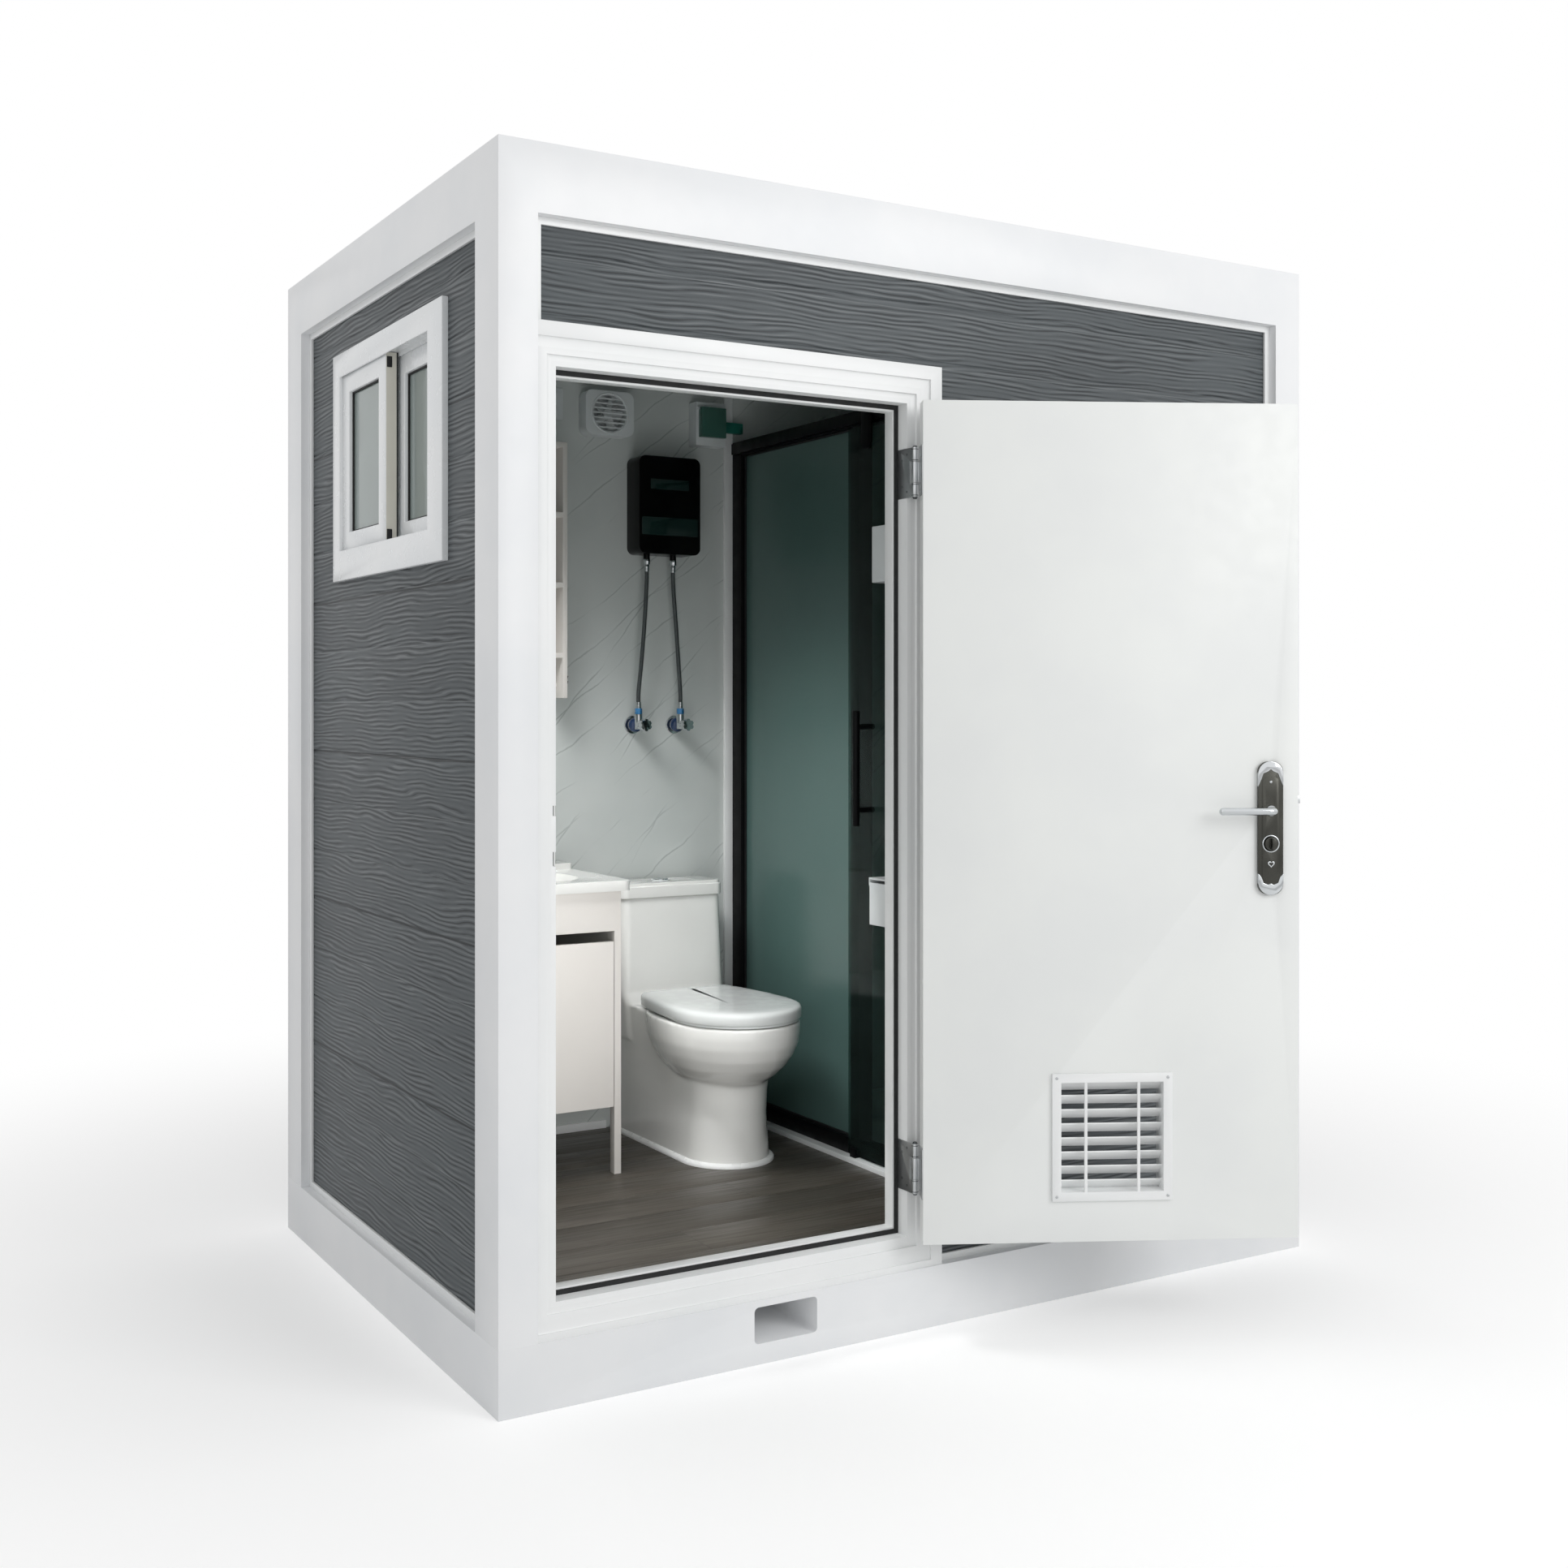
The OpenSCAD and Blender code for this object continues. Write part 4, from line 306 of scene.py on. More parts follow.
@dataclass(frozen=True)
class EmbossedSiding(Finish):
    """Roll-formed steel siding with pressed wood grain: wavy ridges along the wall carry a painted highlight and
    the valleys painted shade.
    """

    # Painted highlight colour of the crests and creases.
    painted_ridge_highlight: str = "#797E80"
    # Painted shade colour of the valleys, also the colour of the dark joints between panels.
    valley_shade_and_joint: str = "#24282B"
    ridge_mm: float = 10.5
    panel_mm: float = 362.0
    boards: int = 3
    first_joint_mm: float = 135.0
    joint_mm: float = 7.0
    crease_mm: float = 3.6
    board_shift_m: float = 0.37
    # Strength of the painted highlight on crests, of the painted shade in valleys and of the painted highlight on
    # creases.
    crest_highlight_tint: float = 0.36
    valley_shade_tint: float = 0.85
    crease_highlight_tint: float = 0.6

    def grain(self, tree: bpy.types.NodeTree, run: bpy.types.NodeSocket,
              height: bpy.types.NodeSocket) -> bpy.types.NodeSocket:
        """Return a wave that runs along the wall and bends round knots.

        Args:
            tree: The material's tree.
            run: Distance along the wall in metres.
            height: Height in metres.

        Returns:
            The wave, from minus one to one.
        """
        flat = add(tree, "ShaderNodeCombineXYZ", {"X": run, "Z": height}).outputs[0]
        phase = add(tree, "ShaderNodeMath", {0: height, 1: math.tau / (self.ridge_mm * MM)},
                    operation="MULTIPLY").outputs[0]
        for grain_mm, longer, turns in ((130.0, 3.0, 26.0), (36.0, 5.0, 9.0), (11.0, 9.0, 2.6)):
            phase = add(tree, "ShaderNodeMath", {0: noise(tree, flat, grain_mm, 1.0, (longer, 1.0, 1.0)),
                                                 1: turns, 2: phase}, operation="MULTIPLY_ADD").outputs[0]
        return add(tree, "ShaderNodeMath", {0: phase}, operation="SINE").outputs[0]

    def seam(self, tree: bpy.types.NodeTree, height: bpy.types.NodeSocket, pitch_mm: float,
             width_mm: float) -> bpy.types.NodeSocket:
        """Return thin level lines, one for each pitch above the first joint.

        Args:
            tree: The material's tree.
            height: Height in metres.
            pitch_mm: Distance between the lines.
            width_mm: How wide each line is.

        Returns:
            One at a line's lower edge, zero off the line.
        """
        above = add(tree, "ShaderNodeMath", {0: height, 1: -self.first_joint_mm * MM}, operation="ADD")
        count = add(tree, "ShaderNodeMath", {0: above.outputs[0], 1: pitch_mm * MM}, operation="DIVIDE")
        part = add(tree, "ShaderNodeMath", {0: count.outputs[0]}, operation="FRACT")
        return ramp(tree, part.outputs[0], 0.0, width_mm / pitch_mm, 1.0, 0.0)

    def dress(self, tree: bpy.types.NodeTree, shader: bpy.types.Node, coords: bpy.types.NodeSocket) -> None:
        """Link pressed ridges and the creases between boards with a painted highlight, valleys with painted shade,
        and the dark joints between panels.

        Args:
            tree: The material's tree.
            shader: Its main shader.
            coords: Object coordinates in metres.
        """
        split = add(tree, "ShaderNodeSeparateXYZ", {"Vector": coords})
        height = split.outputs[2]
        board_mm = self.panel_mm / self.boards
        above = add(tree, "ShaderNodeMath", {0: height, 1: -self.first_joint_mm * MM}, operation="ADD")
        count = add(tree, "ShaderNodeMath", {0: above.outputs[0], 1: board_mm * MM}, operation="DIVIDE")
        number = add(tree, "ShaderNodeMath", {0: count.outputs[0]}, operation="FLOOR")
        along = add(tree, "ShaderNodeMath", {0: split.outputs[0], 1: split.outputs[1]}, operation="ADD")
        run = add(tree, "ShaderNodeMath", {0: number.outputs[0], 1: self.board_shift_m,
                                           2: along.outputs[0]},
                  operation="MULTIPLY_ADD").outputs[0]
        flat = add(tree, "ShaderNodeCombineXYZ", {"X": run, "Z": height}).outputs[0]
        wave = self.grain(tree, run, height)
        depth = ramp(tree, noise(tree, flat, 24.0, 2.0, (8.0, 1.0, 1.0)), 0.34, 0.62, 0.25, 1.0)
        valley = add(tree, "ShaderNodeMath", {0: ramp(tree, wave, -1.0, -0.25, 1.0, 0.0), 1: depth},
                     operation="MULTIPLY").outputs[0]
        crest = add(tree, "ShaderNodeMath", {0: ramp(tree, wave, 0.1, 1.0), 1: depth},
                    operation="MULTIPLY").outputs[0]
        joint = self.seam(tree, height, self.panel_mm, self.joint_mm)
        crease = self.seam(tree, height, board_mm, self.crease_mm)
        base = mixed(tree, ramp(tree, noise(tree, flat, 240.0, 3.0, (3.0, 1.0, 1.0)), 0.3, 0.7),
                     self.colour, self.drift)
        # Painted highlight on the crests and, two lines down, on the creases between boards.
        base = mixed(tree, ramp(tree, crest, 0.0, 1.0, 0.0, self.crest_highlight_tint), base, self.painted_ridge_highlight)
        # Painted shade in the valleys; the dark joints between panels use the same colour.
        base = mixed(tree, ramp(tree, valley, 0.0, 1.0, 0.0, self.valley_shade_tint), base, self.valley_shade_and_joint)
        base = mixed(tree, ramp(tree, crease, 0.0, 1.0, 0.0, self.crease_highlight_tint), base, self.painted_ridge_highlight)
        base = mixed(tree, ramp(tree, joint, 0.0, 0.5), base, self.valley_shade_and_joint)
        tree.links.new(base, shader.inputs["Base Color"])
        tree.links.new(ramp(tree, crest, 0.0, 1.0, self.roughness + 0.08, self.roughness - 0.05),
                       shader.inputs["Roughness"])
        low = add(tree, "ShaderNodeMath", {0: valley, 1: joint}, operation="MAXIMUM")
        level = add(tree, "ShaderNodeMath", {0: low.outputs[0], 1: -0.7, 2: 0.7}, operation="MULTIPLY_ADD")
        level = add(tree, "ShaderNodeMath", {0: crest, 1: 0.3, 2: level.outputs[0]}, operation="MULTIPLY_ADD")
        self.relief(tree, shader, level.outputs[0], self.skin_depth_mm)


@dataclass(frozen=True)
class MarblePanel(Finish):
    """Printed wall panel: pale grey with soft slanting veins under a satin film."""

    vein: str = "#9AA19F"
    pale: str = "#DFE3E2"
    vein_m: float = 0.003
    sway_m: float = 0.075
    quiver_m: float = 0.016
    glow_tint: float = 0.12
    # Slope in degrees, distance between veins in metres and offset of each of the two families
    families: tuple = ((38.0, 0.085, 0.0), (50.0, 0.21, 0.4))

    def dress(self, tree: bpy.types.NodeTree, shader: bpy.types.Node, coords: bpy.types.NodeSocket) -> None:
        """Link thin broken veins that rise to the right, each with a pale edge beside it.

        Args:
            tree: The material's tree.
            shader: Its main shader.
            coords: Object coordinates in metres.
        """
        split = add(tree, "ShaderNodeSeparateXYZ", {"Vector": coords})
        run = add(tree, "ShaderNodeMath", {0: split.outputs[0], 1: split.outputs[1]}, operation="ADD")
        flat = add(tree, "ShaderNodeCombineXYZ", {"X": run.outputs[0], "Z": split.outputs[2]}).outputs[0]
        sway = noise(tree, flat, 330.0, 2.0)
        quiver = noise(tree, flat, 70.0, 4.0)
        veins, glows = [], []
        for slope, gap_m, seed in self.families:
            rise = add(tree, "ShaderNodeMath", {0: split.outputs[2], 1: math.cos(math.radians(slope))},
                       operation="MULTIPLY")
            across = add(tree, "ShaderNodeMath", {0: run.outputs[0], 1: -math.sin(math.radians(slope)),
                                                  2: rise.outputs[0]}, operation="MULTIPLY_ADD")
            bent = add(tree, "ShaderNodeMath", {0: sway, 1: self.sway_m, 2: across.outputs[0]},
                       operation="MULTIPLY_ADD")
            bent = add(tree, "ShaderNodeMath", {0: quiver, 1: self.quiver_m, 2: bent.outputs[0]},
                       operation="MULTIPLY_ADD")
            turns = add(tree, "ShaderNodeMath", {0: bent.outputs[0], 1: 1 / gap_m, 2: seed},
                        operation="MULTIPLY_ADD")
            part = add(tree, "ShaderNodeMath", {0: turns.outputs[0]}, operation="FRACT")
            off = add(tree, "ShaderNodeMath", {0: part.outputs[0], 1: 0.5}, operation="SUBTRACT")
            far = add(tree, "ShaderNodeMath", {0: off.outputs[0]}, operation="ABSOLUTE")
            reach = self.vein_m / gap_m
            veins.append(ramp(tree, far.outputs[0], 0.0, reach, 0.75, 0.0))
            glows.append(ramp(tree, far.outputs[0], reach, reach * 5, 1.0, 0.0))
        broken = ramp(tree, noise(tree, flat, 240.0, 2.0), 0.44, 0.6)
        vein = add(tree, "ShaderNodeMath", {0: veins[0], 1: veins[1]}, operation="MAXIMUM")
        shown = add(tree, "ShaderNodeMath", {0: vein.outputs[0], 1: broken}, operation="MULTIPLY")
        glow = add(tree, "ShaderNodeMath", {0: glows[0], 1: glows[1]}, operation="MAXIMUM")
        lit = add(tree, "ShaderNodeMath", {0: glow.outputs[0], 1: broken}, operation="MULTIPLY")
        cloud = ramp(tree, noise(tree, flat, 300.0, 3.0), 0.3, 0.7)
        base = mixed(tree, cloud, self.colour, self.drift)
        base = mixed(tree, ramp(tree, lit.outputs[0], 0.0, 1.0, 0.0, self.glow_tint), base, self.pale)
        tree.links.new(mixed(tree, shown.outputs[0], base, self.vein), shader.inputs["Base Color"])
        shader.inputs["Roughness"].default_value = self.roughness
        self.relief(tree, shader, noise(tree, coords, self.skin_mm), self.skin_depth_mm)


@dataclass(frozen=True)
class PlankFloor(Finish):
    """Dark plank floor: long grain along each plank, a shade of its own per plank, fine dark joints."""

    plank_mm: float = 152.0
    first_mm: float = 80.0
    plank_m: float = 1.22
    row_shift_m: float = 0.47
    joint_share: float = 0.0016
    streak: str = "#2C2925"
    joint: str = "#151210"

    def dress(self, tree: bpy.types.NodeTree, shader: bpy.types.Node, coords: bpy.types.NodeSocket) -> None:
        """Link grain and plank shades; planks run from left to right.

        Args:
            tree: The material's tree.
            shader: Its main shader.
            coords: Object coordinates in metres.
        """
        split = add(tree, "ShaderNodeSeparateXYZ", {"Vector": coords})
        shift = CORNER.y - self.first_mm * MM
        depth = add(tree, "ShaderNodeMath", {0: split.outputs[1], 1: shift}, operation="ADD")
        row = add(tree, "ShaderNodeMath", {0: depth.outputs[0], 1: self.plank_mm * MM}, operation="DIVIDE")
        number = add(tree, "ShaderNodeMath", {0: row.outputs[0]}, operation="FLOOR")
        offset = add(tree, "ShaderNodeMath", {0: number.outputs[0], 1: self.row_shift_m},
                     operation="MULTIPLY")
        length = add(tree, "ShaderNodeMath", {0: split.outputs[0], 1: offset.outputs[0]}, operation="ADD")
        board = add(tree, "ShaderNodeMath", {0: length.outputs[0], 1: self.plank_m}, operation="DIVIDE")
        board_number = add(tree, "ShaderNodeMath", {0: board.outputs[0]}, operation="FLOOR")
        seed = add(tree, "ShaderNodeCombineXYZ", {"X": number.outputs[0], "Y": board_number.outputs[0]})
        shade = add(tree, "ShaderNodeTexWhiteNoise", {"Vector": seed.outputs[0]}, noise_dimensions="2D")
        slid = add(tree, "ShaderNodeVectorMath", {0: coords, 1: seed.outputs[0]}, operation="ADD")
        grain = noise(tree, slid.outputs[0], 7.0, 4.0, (22.0, 1.0, 1.0))
        broad = noise(tree, slid.outputs[0], 46.0, 3.0, (7.0, 1.0, 1.0))
        tone = add(tree, "ShaderNodeMath", {0: shade.outputs[0], 1: 0.35, 2: broad}, operation="MULTIPLY_ADD")
        base = mixed(tree, ramp(tree, tone.outputs[0], 0.3, 1.0), self.colour, self.drift)
        base = mixed(tree, ramp(tree, grain, 0.45, 0.7, 0.0, 0.4), base, self.streak)
        part = add(tree, "ShaderNodeMath", {0: board.outputs[0]}, operation="FRACT")
        edge = ramp(tree, part.outputs[0], 0.0, self.joint_share, 1.0, 0.0)
        tree.links.new(mixed(tree, edge, base, self.joint), shader.inputs["Base Color"])
        tree.links.new(ramp(tree, grain, 0.3, 0.7, self.roughness, self.roughness + 0.14),
                       shader.inputs["Roughness"])
        self.relief(tree, shader, grain, self.skin_depth_mm)


@dataclass(frozen=True)
class BrushedMetal(Finish):
    """Metal with fine straight scratches that stretch its reflections."""

    along: tuple[float, float, float] = (1.0, 1.0, 40.0)

    def dress(self, tree: bpy.types.NodeTree, shader: bpy.types.Node, coords: bpy.types.NodeSocket) -> None:
        """Link scratches along one axis.

        Args:
            tree: The material's tree.
            shader: Its main shader.
            coords: Object coordinates in metres.
        """
        lines = noise(tree, coords, self.skin_mm, 2.0, self.along)
        tree.links.new(mixed(tree, lines, self.colour, self.drift), shader.inputs["Base Color"])
        tree.links.new(ramp(tree, lines, 0.3, 0.7, self.roughness - 0.05, self.roughness + 0.1),
                       shader.inputs["Roughness"])
        self.relief(tree, shader, lines, self.skin_depth_mm)


@dataclass(frozen=True)
class BraidedSteel(Finish):
    """Steel wire braid over a hose: crossing wires with painted shade in the gaps between them."""

    wire_mm: float = 2.4
    lean: float = 8.0

    def dress(self, tree: bpy.types.NodeTree, shader: bpy.types.Node, coords: bpy.types.NodeSocket) -> None:
        """Link two families of slanting wires, read from the hose's own UV map.

        Args:
            tree: The material's tree.
            shader: Its main shader.
            coords: Object coordinates in metres; not used.
        """
        uv = add(tree, "ShaderNodeUVMap", uv_map="hose").outputs[0]
        split = add(tree, "ShaderNodeSeparateXYZ", {"Vector": uv})
        weave = []
        for sign in (1.0, -1.0):
            lean = add(tree, "ShaderNodeMath", {0: split.outputs[0], 1: sign * self.lean},
                       operation="MULTIPLY")
            turn = add(tree, "ShaderNodeMath", {0: split.outputs[1], 1: 1 / (self.wire_mm * MM),
                                                2: lean.outputs[0]}, operation="MULTIPLY_ADD")
            angle = add(tree, "ShaderNodeMath", {0: turn.outputs[0], 1: math.tau}, operation="MULTIPLY")
            weave.append(add(tree, "ShaderNodeMath", {0: angle.outputs[0]}, operation="SINE").outputs[0])
        both = add(tree, "ShaderNodeMath", {0: weave[0], 1: weave[1]}, operation="MAXIMUM")
        height = ramp(tree, both.outputs[0], -0.4, 0.9)
        # Painted shade: the crevices between the wires get the dark second colour.
        tree.links.new(mixed(tree, height, self.drift, self.colour), shader.inputs["Base Color"])
        shader.inputs["Roughness"].default_value = self.roughness
        self.relief(tree, shader, height, self.skin_depth_mm)


@dataclass(frozen=True)
class Glazing(Finish):
    """Glass sheet: clear or acid-etched, with a tint."""

    through: float = 0.8

    def dress(self, tree: bpy.types.NodeTree, shader: bpy.types.Node, coords: bpy.types.NodeSocket) -> None:
        """Link tint and etching; light passes through part of the sheet.

        Args:
            tree: The material's tree.
            shader: Its main shader.
            coords: Object coordinates in metres.
        """
        super().dress(tree, shader, coords)
        shader.inputs["Transmission Weight"].default_value = self.through


# Powder coat on steel: near white and even, with a soft sheen and hardly any texture.
FRAME_PAINT = Finish("frame_powder_coat", "#F0F1F2", "#EAECEE", 0.34, skin_depth_mm=0.012, swing=0.02)
# Sprayed enamel on the door casing: a little glossier than the frame, smooth to the eye.
CASING_PAINT = Finish("casing_enamel", "#F0F1F1", "#ECEEEE", 0.32, skin_depth_mm=0.008, swing=0.02)
# Enamel on the steel leaf: softer sheen with faint waves from the rolled sheet.
DOOR_PAINT = Finish("door_enamel", "#EDEFED", "#E9EBEA", 0.42, skin_mm=2.2, skin_depth_mm=0.03)
# Embossed, painted steel siding: blue-grey wood grain with a painted highlight on its ridges and creases and
# painted shade in its valleys.
SIDING = EmbossedSiding("embossed_siding", "#4C5154", "#545A5D", 0.5, skin_depth_mm=0.8)
# Printed wall board under film: pale grey marble with a satin shine.
PANEL = MarblePanel("marble_panel", "#C6CBC9", "#CED2D0", 0.32, skin_depth_mm=0.01)
# Film on the ceiling board: plain pale grey, no veins.
CEILING = Finish("ceiling_film", "#C2C9C8", "#BBC3C2", 0.45)
# Vinyl planks with a wood print: dark brown-grey, long grain, a dull shine.
PLANKS = PlankFloor("dark_planks", "#423E38", "#4F4A43", 0.36, skin_depth_mm=0.08)
# Cement board under the planks: matt, warm grey, slightly rough.
DECK = Finish("cement_board", "#8D8A83", "#7C7972", 0.8, skin_depth_mm=0.2)
# Extruded window profile: bright white with a tight, slick shine.
UPVC = Finish("window_upvc", "#EFF1F2", "#EAEDEF", 0.26, skin_depth_mm=0.004, coat=0.15, swing=0.02)
# Protective film left on the meeting stile: cream and a little duller than the profile.
UPVC_CREAM = Finish("protected_upvc", "#E2DFD3", "#DAD7CB", 0.35, skin_depth_mm=0.01)
# Glazed vitreous china: white with a clear wet shine and slow waves in the glaze.
CERAMIC = Finish("glazed_ceramic", "#EDEDEA", "#E8E8E5", 0.1, skin_mm=9.0, skin_depth_mm=0.012, coat=0.6,
                 swing=0.03)
# Silicone round the pan: white, with the soft unevenness of a finger-drawn bead.
SEALANT = Finish("white_sealant", "#F0F1F0", "#EAEBEA", 0.3, skin_mm=5.0, skin_depth_mm=0.05)
# Moulded seat resin: slightly greyer than the china and glossy.
SEAT = Finish("seat_resin", "#DDE0DF", "#D7DAD9", 0.16, skin_mm=7.0, skin_depth_mm=0.01, coat=0.4)
# Lacquered board of vanity and cabinet: warm white, smooth, with an even satin shine.
BOARD = Finish("lacquered_board", "#DFDBD6", "#DCD8D3", 0.3, skin_depth_mm=0.006, swing=0.015)
# Moulded ABS of the small fittings: cool white with a fine matt skin.
BOX_WHITE = Finish("abs_white", "#DCE0E1", "#D4D8D9", 0.34, skin_depth_mm=0.02)
# Acrylic shower tray: white and glossy under a thin clear skin.
TRAY = Finish("tray_acrylic", "#E6E8E8", "#DFE2E2", 0.2, skin_depth_mm=0.01, coat=0.3)
# Black moulded heater cover: deep black with dim, blurred reflections.
BLACK_GLOSS = Finish("black_gloss_cover", "#060707", "#0A0B0B", 0.2, skin_depth_mm=0.003, coat=0.05, ior=1.2,
                     swing=0.03)
# Smoked plastic window: dark green-black and sharper in its shine than the cover.
DARK_LENS = Finish("smoked_lens", "#142825", "#182D2A", 0.12, skin_depth_mm=0.002, coat=0.5, swing=0.03)
# Black anodised aluminium: deep black, dull, with a fine even grain.
BLACK_FRAME = Finish("black_anodised_frame", "#08090A", "#0E0F10", 0.42, skin_depth_mm=0.01, ior=1.2)
# Polished chrome plating: bright, clear reflections with a trace of haze.
CHROME = Finish("polished_chrome", "#D6D9DB", "#CCD0D2", 0.09, 1.0, skin_depth_mm=0.003, swing=0.04)
# Dark nickel plating: brown-grey metal with soft reflections.
LOCK_PLATE = Finish("dark_nickel_plate", "#585853", "#4C4C48", 0.24, 1.0, skin_depth_mm=0.004, swing=0.05)
# Brushed stainless steel: fine upright scratches that stretch the highlights.
SATIN_STEEL = BrushedMetal("brushed_steel", "#D2D4D5", "#C3C6C8", 0.34, 1.0, skin_mm=0.8, skin_depth_mm=0.01)
# Oiled steel of hinge tips and hooks: brushed too, but much darker.
DARK_STEEL = BrushedMetal("hinge_end_steel", "#6A6D6F", "#565A5C", 0.32, 1.0, skin_mm=0.8, skin_depth_mm=0.01)
# Stainless wire braid, drawn coarser than it is so that the crossing wires show; the dark second colour is painted
# shade between the wires.
BRAID = BraidedSteel("wire_braid", "#7E8384", "#1B1D1D", 0.32, 0.85, skin_depth_mm=0.35)
# Black gasket rubber: matt, with a faint grain.
RUBBER = Finish("black_gasket", "#141516", "#1B1C1D", 0.7, skin_depth_mm=0.05)
# Dark blue moulded collars: glossy plastic with a clear edge of light.
BLUE = Finish("blue_valve_plastic", "#1B2F4F", "#213A60", 0.2, skin_depth_mm=0.01, coat=0.4)
# Brighter blue nuts on the hoses: plain moulded plastic.
BLUE_NUT = Finish("blue_hose_nut", "#2C6C9C", "#347AAE", 0.3, skin_depth_mm=0.02, coat=0.2)
# Dark green film on the cable trunking: even, with a soft shine.
GREEN = Finish("green_duct_film", "#1C6A5C", "#227365", 0.3, skin_depth_mm=0.01)
# Green breaker window: tinted plastic that lets part of the light through.
GREEN_LENS = Glazing("green_breaker_lens", "#5C8F82", "#548679", 0.12, skin_depth_mm=0.002, through=0.45)
# Grey drain pipe: plain extruded PVC with a dull skin.
PIPE = Finish("pipe_pvc", "#D3D6D7", "#C8CCCD", 0.4)
# Obscured window glass: grey-green, pale and hard to see through.
WINDOW_GLASS = Glazing("window_glass", "#AFBBB8", "#A7B3B0", 0.12, drift_mm=500.0, skin_mm=40.0,
                       skin_depth_mm=0.01, through=0.4)
# Acid-etched pane of the screen: dark sea green with blurred light behind it.
FROSTED_GLASS = Glazing("frosted_shower_glass", "#5F7A76", "#58736F", 0.24, drift_mm=700.0, skin_mm=30.0,
                        skin_depth_mm=0.008, swing=0.02, through=0.3)
# Tinted glass of the sliding shower door: clear, with a weak green cast.
CLEAR_GLASS = Glazing("tinted_shower_glass", "#93ACA7", "#8DA7A1", 0.03, drift_mm=700.0, skin_mm=60.0,
                      skin_depth_mm=0.002, ior=1.2, swing=0.01, through=0.98)
# Silvered mirror: nearly perfect reflections with a cool tint.
MIRROR = Finish("silvered_mirror", "#D6DCDD", "#D2D8D9", 0.03, 1.0, skin_depth_mm=0.0005, swing=0.01)
# Matt near black for tiny windows and slots: painted shade that stands for the dark inside them.
DARK_GAP = Finish("shadow_black", "#0A0A0B", "#0E0E0F", 0.8)

NODE_BODY = {node: body for body, nodes in frame["record"]["behaviour"]["bodies"].items() for node in nodes}


def choose(obj: bpy.types.Object) -> None:
    """Make one object the only selected and active one.

    Args:
        obj: The object.
    """
    bpy.ops.object.select_all(action="DESELECT")
    obj.select_set(True)
    bpy.context.view_layer.objects.active = obj


def apply_modifier(obj: bpy.types.Object, kind: str, **settings) -> None:
    """Add a modifier and apply it at once.

    Args:
        obj: The object to change.
        kind: The modifier's type name.
        **settings: Its properties.
    """
    made = obj.modifiers.new(kind.lower(), kind)
    for key, value in settings.items():
        setattr(made, key, value)
    choose(obj)
    bpy.ops.object.modifier_apply(modifier=made.name)


def smoothed(obj: bpy.types.Object, angle: float) -> bpy.types.Object:
    """Shade an object smooth but for its sharp edges.

    Args:
        obj: The object to shade.
        angle: Edges sharper than this stay sharp, in degrees.

    Returns:
        The same object.
    """
    choose(obj)
    bpy.ops.object.shade_smooth_by_angle(angle=math.radians(angle))
    return obj


def rounded(obj: bpy.types.Object, width_mm: float, segments: int = 3,
            angle: float = 32.0) -> bpy.types.Object:
    """Round the sharp edges of an object and shade it.

    Args:
        obj: The object to change.
        width_mm: Width of the rounding.
        segments: Faces across it.
        angle: Edges sharper than this are rounded, in degrees.

    Returns:
        The same object.
    """
    apply_modifier(obj, "BEVEL", width=width_mm * MM, segments=segments, limit_method="ANGLE",
                   angle_limit=math.radians(angle), use_clamp_overlap=True)
    return smoothed(obj, 38)


def block(name: str, low: Vector, high: Vector) -> bpy.types.Object:
    """Add a box between two corners.

    Args:
        name: The piece's name.
        low: Lowest corner in metres.
        high: Highest corner in metres.

    Returns:
        The new object, with its place in its mesh.
    """
    bpy.ops.object.select_all(action="DESELECT")
    bpy.ops.mesh.primitive_cube_add(size=1, location=(low + high) / 2)
    obj = bpy.context.object
    obj.name = name
    obj.scale = high - low
    bpy.ops.object.transform_apply(location=True, rotation=True, scale=True)
    return obj


def rod(name: str, start: Vector, end: Vector, radius_mm: float, sides: int = 40,
        tip_mm: float | None = None) -> bpy.types.Object:
    """Add a round bar or cone between two points.

    Args:
        name: The piece's name.
        start: Middle of the first end.
        end: Middle of the second end.
        radius_mm: Radius at the first end.
        sides: Faces around it.
        tip_mm: Radius at the second end, if it differs.

    Returns:
        The new object, with its place in its mesh.
    """
    bpy.ops.object.select_all(action="DESELECT")
    way = end - start
    turn = way.to_track_quat("Z", "Y").to_euler()
    tip = radius_mm if tip_mm is None else tip_mm
    bpy.ops.mesh.primitive_cone_add(vertices=sides, radius1=radius_mm * MM, radius2=tip * MM,
                                    depth=way.length, location=(start + end) / 2, rotation=turn)
    obj = bpy.context.object
    obj.name = name
    bpy.ops.object.transform_apply(location=True, rotation=True, scale=True)
    return obj


def joined(name: str, parts: list[bpy.types.Object]) -> bpy.types.Object:
    """Join objects into one piece.

    Args:
        name: The piece's name.
        parts: What is joined; the first one stays.

    Returns:
        The joined object.
    """
    bpy.ops.object.select_all(action="DESELECT")
    for part in parts:
        part.select_set(True)
    bpy.context.view_layer.objects.active = parts[0]
    bpy.ops.object.join()
    parts[0].name = name
    return parts[0]


